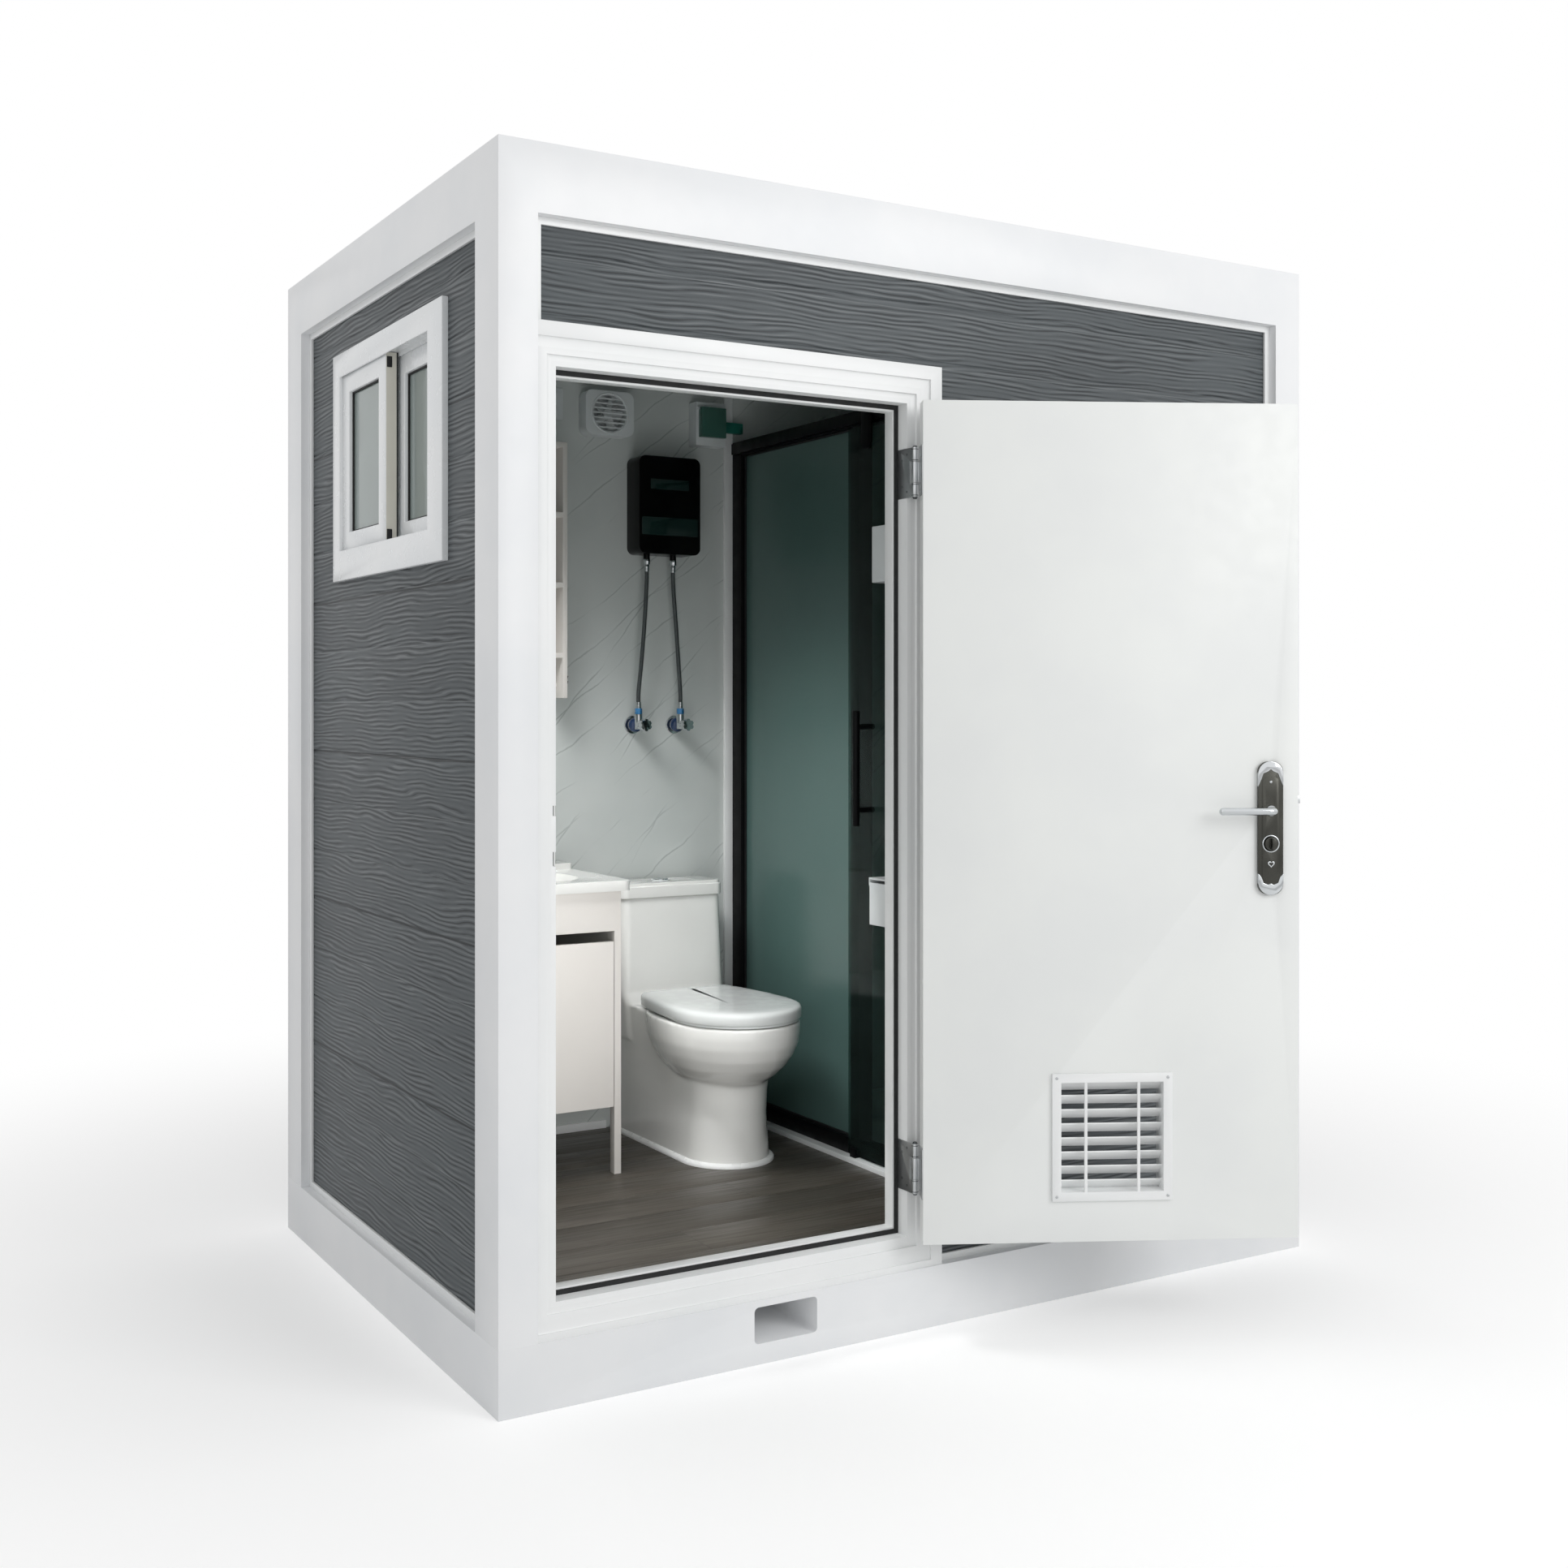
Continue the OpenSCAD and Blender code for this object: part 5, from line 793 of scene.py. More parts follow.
def copy_of(node: str) -> bpy.types.Object:
    """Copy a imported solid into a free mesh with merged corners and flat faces.

    Args:
        node: The solid's name.

    Returns:
        The copy.
    """
    mesh = frame["nodes"][node].data.copy()
    mesh.materials.clear()
    obj = bpy.data.objects.new(node + "_dressed", mesh)
    bpy.context.scene.collection.objects.link(obj)
    choose(obj)
    bpy.ops.mesh.customdata_custom_splitnormals_clear()
    bpy.ops.object.mode_set(mode="EDIT")
    bpy.ops.mesh.select_all(action="SELECT")
    bpy.ops.mesh.remove_doubles(threshold=0.00002)
    bpy.ops.mesh.dissolve_limited(angle_limit=math.radians(0.6))
    bpy.ops.object.mode_set(mode="OBJECT")
    return obj


def settle(obj: bpy.types.Object, finish: Finish, body: str,
           stands_for: tuple[str, ...] = ()) -> bpy.types.Object:
    """Give a finished piece its material and body.

    Args:
        obj: The piece.
        finish: Its finish.
        body: The body it moves with.
        stands_for: Solids that it replaces.

    Returns:
        The same piece.
    """
    obj.data.materials.clear()
    obj.data.materials.append(finish.material())
    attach(obj, body)
    if stands_for:
        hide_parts(*stands_for)
    LOG.info("%s on %s, %s", obj.name, body, finish.name)
    return obj


def soften(node: str, finish: Finish, width_mm: float, segments: int = 3) -> bpy.types.Object:
    """Replace a solid by a copy with rounded edges.

    Args:
        node: The solid's name.
        finish: Its finish.
        width_mm: Width of the rounding.
        segments: Faces across it.

    Returns:
        The dressed copy.
    """
    obj = rounded(copy_of(node), width_mm, segments)
    return settle(obj, finish, NODE_BODY[node], (node,))


def paint(node: str, finish: Finish) -> None:
    """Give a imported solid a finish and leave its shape.

    Args:
        node: The solid's name.
        finish: Its finish.
    """
    for place in frame["nodes"][node].material_slots:
        place.material = finish.material()


def ring_loft(name: str, rings: list[list[Vector]]) -> bpy.types.Object:
    """Build a closed skin through rings of points, from a circle that is extruded ring by ring.

    Args:
        name: The piece's name.
        rings: Rings with the same number of points, from one end to the other.

    Returns:
        The skin with both ends closed.
    """
    bpy.ops.object.select_all(action="DESELECT")
    bpy.ops.mesh.primitive_circle_add(vertices=len(rings[0]), radius=1, fill_type="NGON")
    obj = bpy.context.object
    obj.name = name
    bpy.ops.object.mode_set(mode="EDIT")
    bpy.ops.mesh.select_all(action="SELECT")
    for number, ring in enumerate(rings):
        if number:
            bpy.ops.mesh.extrude_region_move(TRANSFORM_OT_translate={"value": (0, 0, 0.001)})
        mesh = bmesh.from_edit_mesh(obj.data)
        corners = [v for v in mesh.verts if v.select]
        for corner, place in zip(corners, ring):
            corner.co = place
        bmesh.update_edit_mesh(obj.data)
    bpy.ops.mesh.select_all(action="SELECT")
    bpy.ops.mesh.normals_make_consistent(inside=False)
    bpy.ops.object.mode_set(mode="OBJECT")
    return obj


def tube(name: str, points: list[Vector], radius_mm: float, sides: int = 18,
         steps: int = 6) -> bpy.types.Object:
    """Sweep a round section along a smooth path.

    Args:
        name: The piece's name.
        points: The path in metres.
        radius_mm: Radius of the section.
        sides: Faces around the section.
        steps: Sections between two points of the path.

    Returns:
        The tube with closed ends and a UV map named hose: turns across, metres along.
    """
    ends = [points[0] * 2 - points[1], *points, points[-1] * 2 - points[-2]]
    path = []
    for k in range(len(points) - 1):
        a, b, c, d = ends[k : k + 4]
        for i in range(steps):
            t = i / steps
            # A Catmull-Rom curve between b and c
            path.append(((b * 2) + (c - a) * t + (a * 2 - b * 5 + c * 4 - d) * t * t
                         + (b * 3 - a - c * 3 + d) * t ** 3) / 2)
    path.append(points[-1])
    rings, lengths, side = [], [0.0], None
    for k, place in enumerate(path):
        way = (path[min(k + 1, len(path) - 1)] - path[max(k - 1, 0)]).normalized()
        side = way.orthogonal() if side is None else side - way * side.dot(way)
        side.normalize()
        other = way.cross(side)
        rings.append([place + (side * math.cos(math.tau * i / sides) + other * math.sin(math.tau * i / sides))
                      * radius_mm * MM for i in range(sides)])
        if k:
            lengths.append(lengths[-1] + (place - path[k - 1]).length)
    obj = ring_loft(name, rings)
    layer = obj.data.uv_layers.new(name="hose")
    for face in obj.data.polygons:
        around = [obj.data.loops[i].vertex_index % sides for i in face.loop_indices]
        seam = max(around) == sides - 1 and min(around) == 0
        for loop, turn in zip(face.loop_indices, around):
            station = min(obj.data.loops[loop].vertex_index // sides, len(lengths) - 1)
            layer.data[loop].uv = ((sides if seam and turn == 0 else turn) / sides, lengths[station])
    return smoothed(obj, 45)


def rectangle(left: float, low: float, right: float, high: float, radius: float = 0.0) -> list[tuple]:
    """Outline of a rectangle, with round corners if it has a radius.

    Args:
        left: Lowest first coordinate.
        low: Lowest second coordinate.
        right: Highest first coordinate.
        high: Highest second coordinate.
        radius: Corner radius.

    Returns:
        The outline's points.
    """
    if not radius:
        return [(left, low), (right, low), (right, high), (left, high)]
    points = []
    for x, y, turn in ((right, low, 270), (right, high, 0), (left, high, 90), (left, low, 180)):
        cx = x - math.copysign(radius, x - (left + right) / 2)
        cy = y - math.copysign(radius, y - (low + high) / 2)
        for k in range(9):
            a = math.radians(turn + 11.25 * k)
            points.append((cx + radius * math.cos(a), cy + radius * math.sin(a)))
    return points


def flat_piece(name: str, outline: list[tuple], facing: Facing, near: float, far: float) -> bpy.types.Object:
    """Extrude a flat outline.

    Args:
        name: The piece's name.
        outline: The outline's points in millimetres.
        facing: Which way the outline faces.
        near: Depth of the first face.
        far: Depth of the second face.

    Returns:
        The closed piece.
    """
    return ring_loft(name, [[facing.point(u, v, d) for u, v in outline] for d in (near, far)])


def take_out(body: bpy.types.Object, tool: bpy.types.Object) -> None:
    """Take one closed shape out of another.

    Args:
        body: What is cut.
        tool: What is taken away and then removed.
    """
    apply_modifier(body, "BOOLEAN", operation="DIFFERENCE", object=tool, solver="EXACT")
    bpy.data.objects.remove(tool)


def border(name: str, outer: list[tuple], inner: list[tuple], facing: Facing, near: float,
           far: float) -> bpy.types.Object:
    """Make a flat frame with an opening.

    Args:
        name: The piece's name.
        outer: Outer outline.
        inner: Outline of the opening.
        facing: Which way it faces.
        near: Depth of the first face.
        far: Depth of the second face.

    Returns:
        The frame.
    """
    obj = flat_piece(name, outer, facing, near, far)
    take_out(obj, flat_piece("hole", inner, facing, near - 2, far + 2))
    return obj


def hoop(name: str, middle: Vector, axis: Vector, radius_mm: float, thick_mm: float) -> bpy.types.Object:
    """Add a ring of round wire.

    Args:
        name: The piece's name.
        middle: Its centre.
        axis: What it turns around.
        radius_mm: Radius to the middle of the wire.
        thick_mm: Radius of the wire.

    Returns:
        The ring.
    """
    bpy.ops.object.select_all(action="DESELECT")
    bpy.ops.mesh.primitive_torus_add(location=middle, rotation=axis.to_track_quat("Z", "Y").to_euler(),
                                     major_radius=radius_mm * MM, minor_radius=thick_mm * MM,
                                     major_segments=64, minor_segments=14)
    obj = bpy.context.object
    obj.name = name
    bpy.ops.object.transform_apply(location=True, rotation=True, scale=True)
    bpy.ops.object.shade_smooth()
    return obj


def swing_open(obj: bpy.types.Object) -> bpy.types.Object:
    """Turn a piece that was built on the shut door to where the open door stands.

    Args:
        obj: The piece.

    Returns:
        The same piece, with its place in its mesh.
    """
    obj.matrix_world = (Matrix.Translation(HINGE) @ Matrix.Rotation(LEAF_OPEN, 4, "Z")
                        @ Matrix.Translation(-HINGE) @ obj.matrix_world)
    choose(obj)
    bpy.ops.object.transform_apply(location=True, rotation=True, scale=True)
    return obj


@dataclass
class Screw:
    """Pan head screw with a cross recess, modelled once and copied."""

    radius_mm: float = 3.4
    height_mm: float = 1.6
    model: bpy.types.Object | None = None

    def pattern(self) -> bpy.types.Object:
        """Build the head at the origin, facing up, on first use.

        Returns:
            The head that is copied.
        """
        if self.model is None:
            lift = UP * self.height_mm * MM
            head = rod("screw", lift * 0, lift, self.radius_mm, 28, self.radius_mm * 0.72)
            rounded(head, 0.45, 3)
            for wide, deep in ((0.5, 2.1), (2.1, 0.5)):
                half = Vector((wide, deep, 0.0)) * self.radius_mm * 0.3 * MM
                take_out(head, block("cross", -half + lift * 0.45, half + lift * 1.6))
            self.model = head
        return self.model

    def row(self, name: str, places: list[Vector], aim: Vector) -> bpy.types.Object:
        """Copy the head to several places and join the copies.

        Args:
            name: The piece's name.
            places: Where the heads sit.
            aim: Which way they face.

        Returns:
            One piece with all the heads.
        """
        heads = []
        for number, place in enumerate(places):
            head = self.pattern().copy()
            head.data = head.data.copy()
            bpy.context.scene.collection.objects.link(head)
            spin = Matrix.Rotation(math.radians(25 + 50 * number), 4, "Z")
            head.matrix_world = (Matrix.Translation(place) @ aim.to_track_quat("Z", "Y").to_matrix().to_4x4()
                                 @ spin)
            choose(head)
            bpy.ops.object.transform_apply(location=True, rotation=True, scale=True)
            heads.append(head)
        return joined(name, heads)

    def tidy_up(self) -> None:
        """Remove the pattern once every screw is placed."""
        if self.model:
            bpy.data.objects.remove(self.model)
            self.model = None


SCREW = Screw()


@dataclass
class Shell:
    """Steel frame, walls, floor and roof."""

    edge_mm: float = 3.0
    panel_edge_mm: float = 1.2

    def build(self) -> None:
        """Dress the frame and the flat panels."""
        soften("base_frame", FRAME_PAINT, self.edge_mm)
        soften("upper_frame", FRAME_PAINT, self.edge_mm)
        soften("wall_cladding", SIDING, self.panel_edge_mm, 2)
        soften("roof_panel", FRAME_PAINT, self.panel_edge_mm, 2)
        paint("wall_lining", PANEL)
        paint("ceiling_panel", CEILING)
        paint("floor_deck", DECK)
        soften("floor_planks", PLANKS, 0.8, 2)
        soften("trims", CASING_PAINT, 0.8, 2)
        paint("plumbing_pipes", PIPE)


@dataclass
class Doorway:
    """Door casing with its gasket and the hinge leaves that are screwed to it."""

    edge_mm: float = 3.0
    opening: Span = Span.of("door_seal")
    post: float = Span.of("door_frame").left
    hinge_leaf: float = Span.of("frame_hinge_leaves").left + 1.0
    # Inset from the opening, front face and width of each moulding
    steps: tuple = ((54.0, 4.0, 27.0), (21.0, 10.0, 15.0))
    sag_mm: float = 3.1

    def build(self) -> None:
        """Dress the casing and its fittings."""
        soften("door_frame", CASING_PAINT, self.edge_mm)
        paint("door_seal", RUBBER)
        self.coves()
        soften("frame_hinge_leaves", SATIN_STEEL, 0.8, 2)
        self.screws()
        self.hinge_tips()

    def coves(self) -> None:
        """Shallow hollow mouldings that fill the two steps of the casing, mitred at the corners."""
        parts = []
        for inset, front, width in self.steps:
            right, high = self.opening.right + inset, self.opening.high + inset
            left, low = self.opening.left - inset, self.opening.low - inset
            path = [(right, high, -1, -1), (right, low, -1, 1)]
            # The outer step ends at the post; the inner one runs all round, from half way up on the left.
            if left < self.post:
                path = [(self.post + 0.2, high, 0, -1), *path, (self.post + 0.2, low, 0, 1)]
            else:
                path = [(left, 1000.1, 1, 0), (left, high, 1, -1), *path,
                        (left, low, 1, 1), (left, 999.9, 1, 0)]
            turns = [math.radians(15 * k) for k in range(7)]
            curve = [(width * (1 - math.cos(turn)), 3.0 + self.sag_mm * math.sin(turn)) for turn in turns]
            profile = [(-0.4, 6.6), (-0.4, 3.2), *curve, (width, 6.6)]
            rings = [[at(x + u * way_x, front + depth, z + u * way_z) for u, depth in profile]
                     for x, z, way_x, way_z in path]
            parts.append(ring_loft("cove", rings))
        settle(smoothed(joined("casing_coves", parts), 30), CASING_PAINT, "cabin")

    def hinge_tips(self) -> None:
        """Dark domed tips on the hinge pins and a dark bearing ring at each joint of the knuckles."""
        parts = []
        for z in HINGES:
            middle = HINGE + UP * z * MM
            for way in (-1, 1):
                end = middle + UP * way * HALF_HINGE * MM
                parts.append(rounded(rod("tip", end, end + UP * way * 4 * MM, 6.0, tip_mm=3.4), 0.8, 2))
            parts += [hoop("bearing", middle + UP * way * k * MM, UP, 6.6, 0.9)
                      for way in (-1, 1) for k in (26, 49)]
        settle(joined("hinge_pin_tips", parts), DARK_STEEL, "cabin")

    def screws(self) -> None:
        """Countersunk screws of the hinge leaves on the casing."""
        places = [at(self.hinge_leaf + 1.3, y, z + up) for z in HINGES
                  for y, up in ((14.0, -40.0), (32.0, -28.0), (32.0, 28.0), (14.0, 40.0))]
        settle(SCREW.row("casing_hinge_screws", places, TOWARDS_LEFT), DARK_STEEL, "cabin")


@dataclass
class Door:
    """Open door: leaf, louvre, lock plates, lever, thumb turn and bolts."""

    # Places across and through the leaf are given for the shut door, which swing_open then turns.
    edge_mm: float = 2.0
    plate_x: float = 189.0
    plate_z: float = Span.of("lock_plates").middle[2]
    lever_z: float = Span.of("lever_handle").middle[2]
    turn_z: float = Span.of("thumb_turn").middle[2]
    key_z: float = 999.0
    face: float = 49.0
    front: float = 4.0
    lock_t: float = 8.0
    hinge_face: float = 931.7
    louvre: tuple = (529.0, 424.5)
    louvre_half: tuple = (119.0, 125.0)

    def build(self) -> None:
        """Dress the leaf and its hardware."""
        soften("door_leaf", DOOR_PAINT, self.edge_mm)
        soften("door_louvre", CASING_PAINT, 1.0, 2)
        soften("door_hinge_leaves", SATIN_STEEL, 0.8, 2)
        soften("lock_plates", LOCK_PLATE, 1.8)
        soften("latch_bolt", SATIN_STEEL, 0.6, 2)
        soften("thumb_turn", LOCK_PLATE, 2.4)
        soften("dead_bolt", SATIN_STEEL, 0.6, 2)
        self.lever()
        self.plate_trim()
        self.screws()

    def lever(self) -> None:
        """Bent chrome levers on both sides with their spindle."""
        parts = []
        for base, way in ((self.face, 1.0), (self.front, -1.0)):
            bends = ((0, 0), (0, 22), (1.5, 32), (9, 38), (22, 39), (70, 38.5), (112, 36))
            path = [at(self.plate_x + along, base + way * out, self.lever_z) for along, out in bends]
            bar = tube("bar", path, 8.0, 24, 8)
            bpy.ops.object.select_all(action="DESELECT")
            bpy.ops.mesh.primitive_uv_sphere_add(segments=32, ring_count=16, radius=8 * MM, location=path[-1])
            parts += [bar, bpy.context.object,
                      rod("collar", at(self.plate_x, base + way * 8.4, self.lever_z),
                          at(self.plate_x, base + way * 13, self.lever_z), 12.5, tip_mm=11.0)]
        parts.append(rod("spindle", at(self.plate_x, self.front, self.lever_z),
                         at(self.plate_x, self.face, self.lever_z), 6))
        levers = smoothed(joined("lever_bent", parts), 45)
        settle(swing_open(levers), CHROME, "lever", ("lever_handle",))

    def cap_outline(self, way: int) -> list[tuple]:
        """Outline of a chrome cap that closes one end of the lock plate.

        Args:
            way: One for the upper cap, minus one for the lower.

        Returns:
            The outline's points.
        """
        x, z, half = self.plate_x, self.plate_z, 27.3
        start, end, notch = (88.0, 141.9, 125.0) if way > 0 else (96.0, 142.1, 117.0)
        arc = [math.radians(12 * k) for k in range(16)]
        points = [(x + half, z + way * start)]
        points += [(x + half * math.cos(a), z + way * (end - half + half * math.sin(a))) for a in arc]
        points.append((x - half, z + way * start))
        inner = (20.0, 104.0), (16.0, 116.0), (6.0, 120.0), (0.0, notch)
        points += [(x - u, z + way * v) for u, v in inner]
        points += [(x + u, z + way * v) for u, v in reversed(inner[:-1])]
        return points

    def plate_trim(self) -> None:
        """Raised middle panel, chrome caps, rosette ring and heart-shaped key cover on the room side."""
        top = self.face + self.lock_t
        x, z = self.plate_x, self.plate_z
        panel = flat_piece("lock_panel", rectangle(x - 19, z - 112, x + 19, z + 108, 12), Facing.DOOR_SIDE,
                           top - 0.6, top + 1.0)
        for height, radius in ((self.lever_z, 9.4), (self.turn_z, 14.6)):
            take_out(panel, rod("hole", at(x, top - 5, height), at(x, top + 5, height), radius))
        settle(swing_open(rounded(panel, 0.7)), LOCK_PLATE, "door")
        caps = [rounded(flat_piece("cap", self.cap_outline(way), Facing.DOOR_SIDE, self.face + 0.4,
                                   top + 1.6), 1.2) for way in (1, -1)]
        ring = hoop("ring", at(x, top + 1.0, self.turn_z), TOWARDS_BACK, 17.0, 2.0)
        heart = []
        for k in range(36):
            t = math.tau * k / 36
            heart.append((x + 7.5 * math.sin(t) ** 3, self.key_z + 0.47 * (
                13 * math.cos(t) - 5 * math.cos(2 * t) - 2 * math.cos(3 * t) - math.cos(4 * t))))
        hole = [(x + (u - x) * 0.6, self.key_z + (v - self.key_z) * 0.6) for u, v in heart]
        cover = border("key", heart, hole, Facing.DOOR_SIDE, top + 0.6, top + 3.0)
        trim = joined("lock_chrome_trim", [*caps, ring, rounded(cover, 0.4, 2)])
        settle(swing_open(trim), CHROME, "door")

    def screws(self) -> None:
        """Screws of the lock plate, the louvre frame and the hinge leaves."""
        top = self.face + self.lock_t + 0.9
        plate = SCREW.row("lock_plate_screw", [at(self.plate_x, top, self.plate_z + 98)], TOWARDS_BACK)
        settle(swing_open(plate), CHROME, "door")
        x, z = self.louvre
        wide, tall = self.louvre_half
        corners = [at(x + u, self.face + 6, z + v) for u in (-wide, wide) for v in (-tall, tall)]
        settle(swing_open(SCREW.row("louvre_screws", corners, TOWARDS_BACK)), SATIN_STEEL, "door")
        leaf = [at(self.hinge_face, y, z + up) for z in HINGES
                for y, up in ((14, -40), (34, -28), (34, 28), (14, 40))]
        settle(swing_open(SCREW.row("leaf_hinge_screws", leaf, TOWARDS_RIGHT)), CHROME, "door")


@dataclass
class SlidingWindow:
    """White sliding window with two sashes."""

    edge_mm: float = 2.0
    overlap_mm: float = 0.4

    def build(self) -> None:
        """Dress the casing, sashes and panes, and add gaskets and the meeting stile."""
        soften("window_frame", UPVC, self.edge_mm)
        soften("outer_sash", UPVC, self.edge_mm)
        soften("inner_sash", UPVC, self.edge_mm)
        paint("outer_pane", WINDOW_GLASS)
        paint("inner_pane", WINDOW_GLASS)
        self.gasket("outer_gasket", Span.of("outer_pane"), "outer_window")
        self.gasket("inner_gasket", Span.of("inner_pane"), "inner_window")
        self.meeting_stile()

    def gasket(self, name: str, pane: Span, body: str) -> None:
        """Black glazing gasket round a pane, on the outer face.

        Args:
            name: The piece's name.
            pane: Where the pane lies.
            body: The sash it moves with.
        """
        over, depth = self.overlap_mm, pane.left - self.overlap_mm
        ring = border(name, rectangle(pane.front - over, pane.low - over, pane.rear + over, pane.high + over),
                      rectangle(pane.front + 4, pane.low + 4, pane.rear - 4, pane.high - 4, 3),
                      Facing.LEFT_SIDE, depth - 4, depth)
        settle(rounded(ring, 0.8, 2), RUBBER, body)

    def meeting_stile(self) -> None:
        """Cream film on the meeting stile, with a black guide block at both ends and a black strip of painted
        shade where the sashes meet.
        """
        sash = Span.of("outer_sash")
        low, high, front, right = sash.low + 1, sash.high - 1, sash.front, sash.right
        strip = block("stile_film", at(sash.left + 1.5, front - 0.8, low), at(right - 4, front + 0.2, high))
        settle(rounded(strip, 0.4, 2), UPVC_CREAM, "outer_window")
        blocks = [rounded(block("guide", at(sash.left + 2.5, front - 2.8, z),
                                at(sash.left + 14.5, front - 0.4, z + 24)), 1.0)
                  for z in (low + 9.5, high - 33.5)]
        settle(joined("stile_guides", blocks), RUBBER, "outer_window")
        # Painted shade: a black strip stands for the shadow between the sashes.
        shadow_strip = block("stile_shadow_strip", at(right - 3.6, front - 1.4, low), at(right - 0.6, front + 0.4, high))
        settle(rounded(shadow_strip, 0.5, 2), RUBBER, "outer_window")


@dataclass
class Toilet:
    """Close-coupled toilet: a skirted pan with a round bowl, its tank, seat and wrap-over cover."""

    middle: float = Span.of("toilet_pan").middle[0]
    floor: float = Span.of("toilet_pan").low
    tip: float = Span.of("toilet_pan").front - 2.0
    back: float = Span.of("toilet_pan").rear - 0.4
    rim: float = 366.0
    axis: float = 1138.0
    axis_z: float = 560.0
    cell_mm: float = 5.0

    # Height above the floor, half width, setback of the front, half width at the back
    skirt: tuple = ((0, 112, 116, 116), (14, 112, 116, 116), (60, 108, 121, 119), (120, 104, 124, 124),
                    (180, 106, 120, 130), (240, 114, 110, 136), (300, 128, 104, 142), (366, 138, 100, 146))
    # Height above the floor, half width, setback of the front, setback of the rear end
    bowl: tuple = ((182, 46, 176, 330), (190, 72, 146, 362), (204, 98, 116, 396), (224, 123, 84, 428),
                   (250, 145, 52, 458), (280, 161, 26, 482), (312, 171, 9, 500), (340, 174, 3, 508),
                   (366, 174, 2, 510))
    # Height above the floor, half width, setback of the front, setback of the rear end
    well: tuple = ((196, 40, 180, 300), (204, 62, 150, 330), (240, 88, 112, 360), (290, 108, 82, 384),
                   (330, 118, 68, 396), (352, 120, 64, 400), (372, 126, 60, 404))
    # Height above the ground, half width, front face, corner radius
    tank: tuple = ((440, 140, 1158, 40), (500, 146, 1160, 34), (534, 150, 1163, 30), (548, 153, 1174, 28),
                   (566, 157, 1186, 26), (620, 156, 1190, 26), (720, 153, 1195, 24), (816, 150, 1200, 22))
    # Height above the floor and how far the sealant lip stands out there
    lip: tuple = ((0.2, 12.0), (5.0, 12.0), (9.0, 9.0), (11.5, 4.0), (12.0, -3.0))
    # Inset from the cover's edge and height above the ground
    dome: tuple = ((30.0, 544.3), (3.0, 544.3), (1.0, 545.0), (0.0, 547.0), (0.0, 563.0), (1.0, 568.0),
                   (4.0, 572.0), (9.0, 574.6), (18.0, 576.4), (40.0, 577.6), (80.0, 578.2), (130.0, 578.5))

    def build(self) -> None:
        """Build the pan, foot and cover and dress the rest."""
        self.pan()
        self.foot()
        self.cover()
        soften("toilet_seat", SEAT, 4.0, 4)
        soften("cistern_lid", CERAMIC, 7.0, 5)
        soften("flush_button_full", CHROME, 1.0)
        soften("flush_button_half", CHROME, 1.0)
        paint("cistern_valves", BOX_WHITE)

    @staticmethod
    def front_arc(half: float, tip: float, pieces: int) -> list[tuple]:
        """Round front that skirt, seat and cover share.

        Args:
            half: Half width where the arc ends.
            tip: Front point.
            pieces: Straight pieces round the arc.

        Returns:
            Points from the left end to the right end.
        """
        depth = half * 1.12
        turns = [math.radians(180 + 180 * k / pieces) for k in range(pieces + 1)]
        return [(half * math.cos(turn), tip + depth + depth * math.sin(turn)) for turn in turns]

    def outline(self, half: float, tip: float, back_half: float, z: float) -> list[Vector]:
        """Skirt section: round front, nearly straight sides, flat back.

        Args:
            half: Half width at the front arc.
            tip: Front point.
            back_half: Half width at the back.
            z: Height above the ground.

        Returns:
            The ring's points.
        """
        middle = tip + half * 1.12
        points = self.front_arc(half, tip, 30)
        sides = [(half + (back_half - half) * k / 8, middle + (self.back - 14 - middle) * k / 8)
                 for k in range(1, 9)]
        rear = [(back_half * c, self.back) for c in (0.9, 0.45, 0.0, -0.45, -0.9)]
        points += sides + rear + [(-x, y) for x, y in reversed(sides)]
        return [at(self.middle + x, y, z) for x, y in points]

    def oval(self, height: float, half: float, front: float, rear: float) -> list[Vector]:
        """Slightly squared oval section of the bowl.

        Args:
            height: Height above the floor.
            half: Half width.
            front: Setback of the front point from the pan's tip.
            rear: Setback of the rear point.

        Returns:
            The ring's points.
        """
        points = []
        squareness = 2 / 2.15
        middle, reach = self.tip + (front + rear) / 2, (rear - front) / 2
        for k in range(64):
            across, along = math.cos(math.tau * k / 64), math.sin(math.tau * k / 64)
            x = half * math.copysign(abs(across) ** squareness, across)
            y = middle + reach * math.copysign(abs(along) ** squareness, along)
            points.append(at(self.middle + x, y, self.floor + height))
        return points

    def box_ring(self, z: float, half: float, front: float, radius: float) -> list[Vector]:
        """Tank section: rounded rectangle with a slightly bowed front.

        Args:
            z: Height above the ground.
            half: Half width.
            front: Front face.
            radius: Corner radius.

        Returns:
            The ring's points.
        """
        points = []
        corners = ((half, front, 270), (half, self.back, 0), (-half, self.back, 90), (-half, front, 180))
        for x, y, turn in corners:
            cx = x - math.copysign(radius, x)
            cy = y + radius if y == front else y - radius
            for k in range(7):
                a = math.radians(turn + 15 * k)
                points.append(at(self.middle + cx + radius * math.cos(a), cy + radius * math.sin(a), z))
        return points

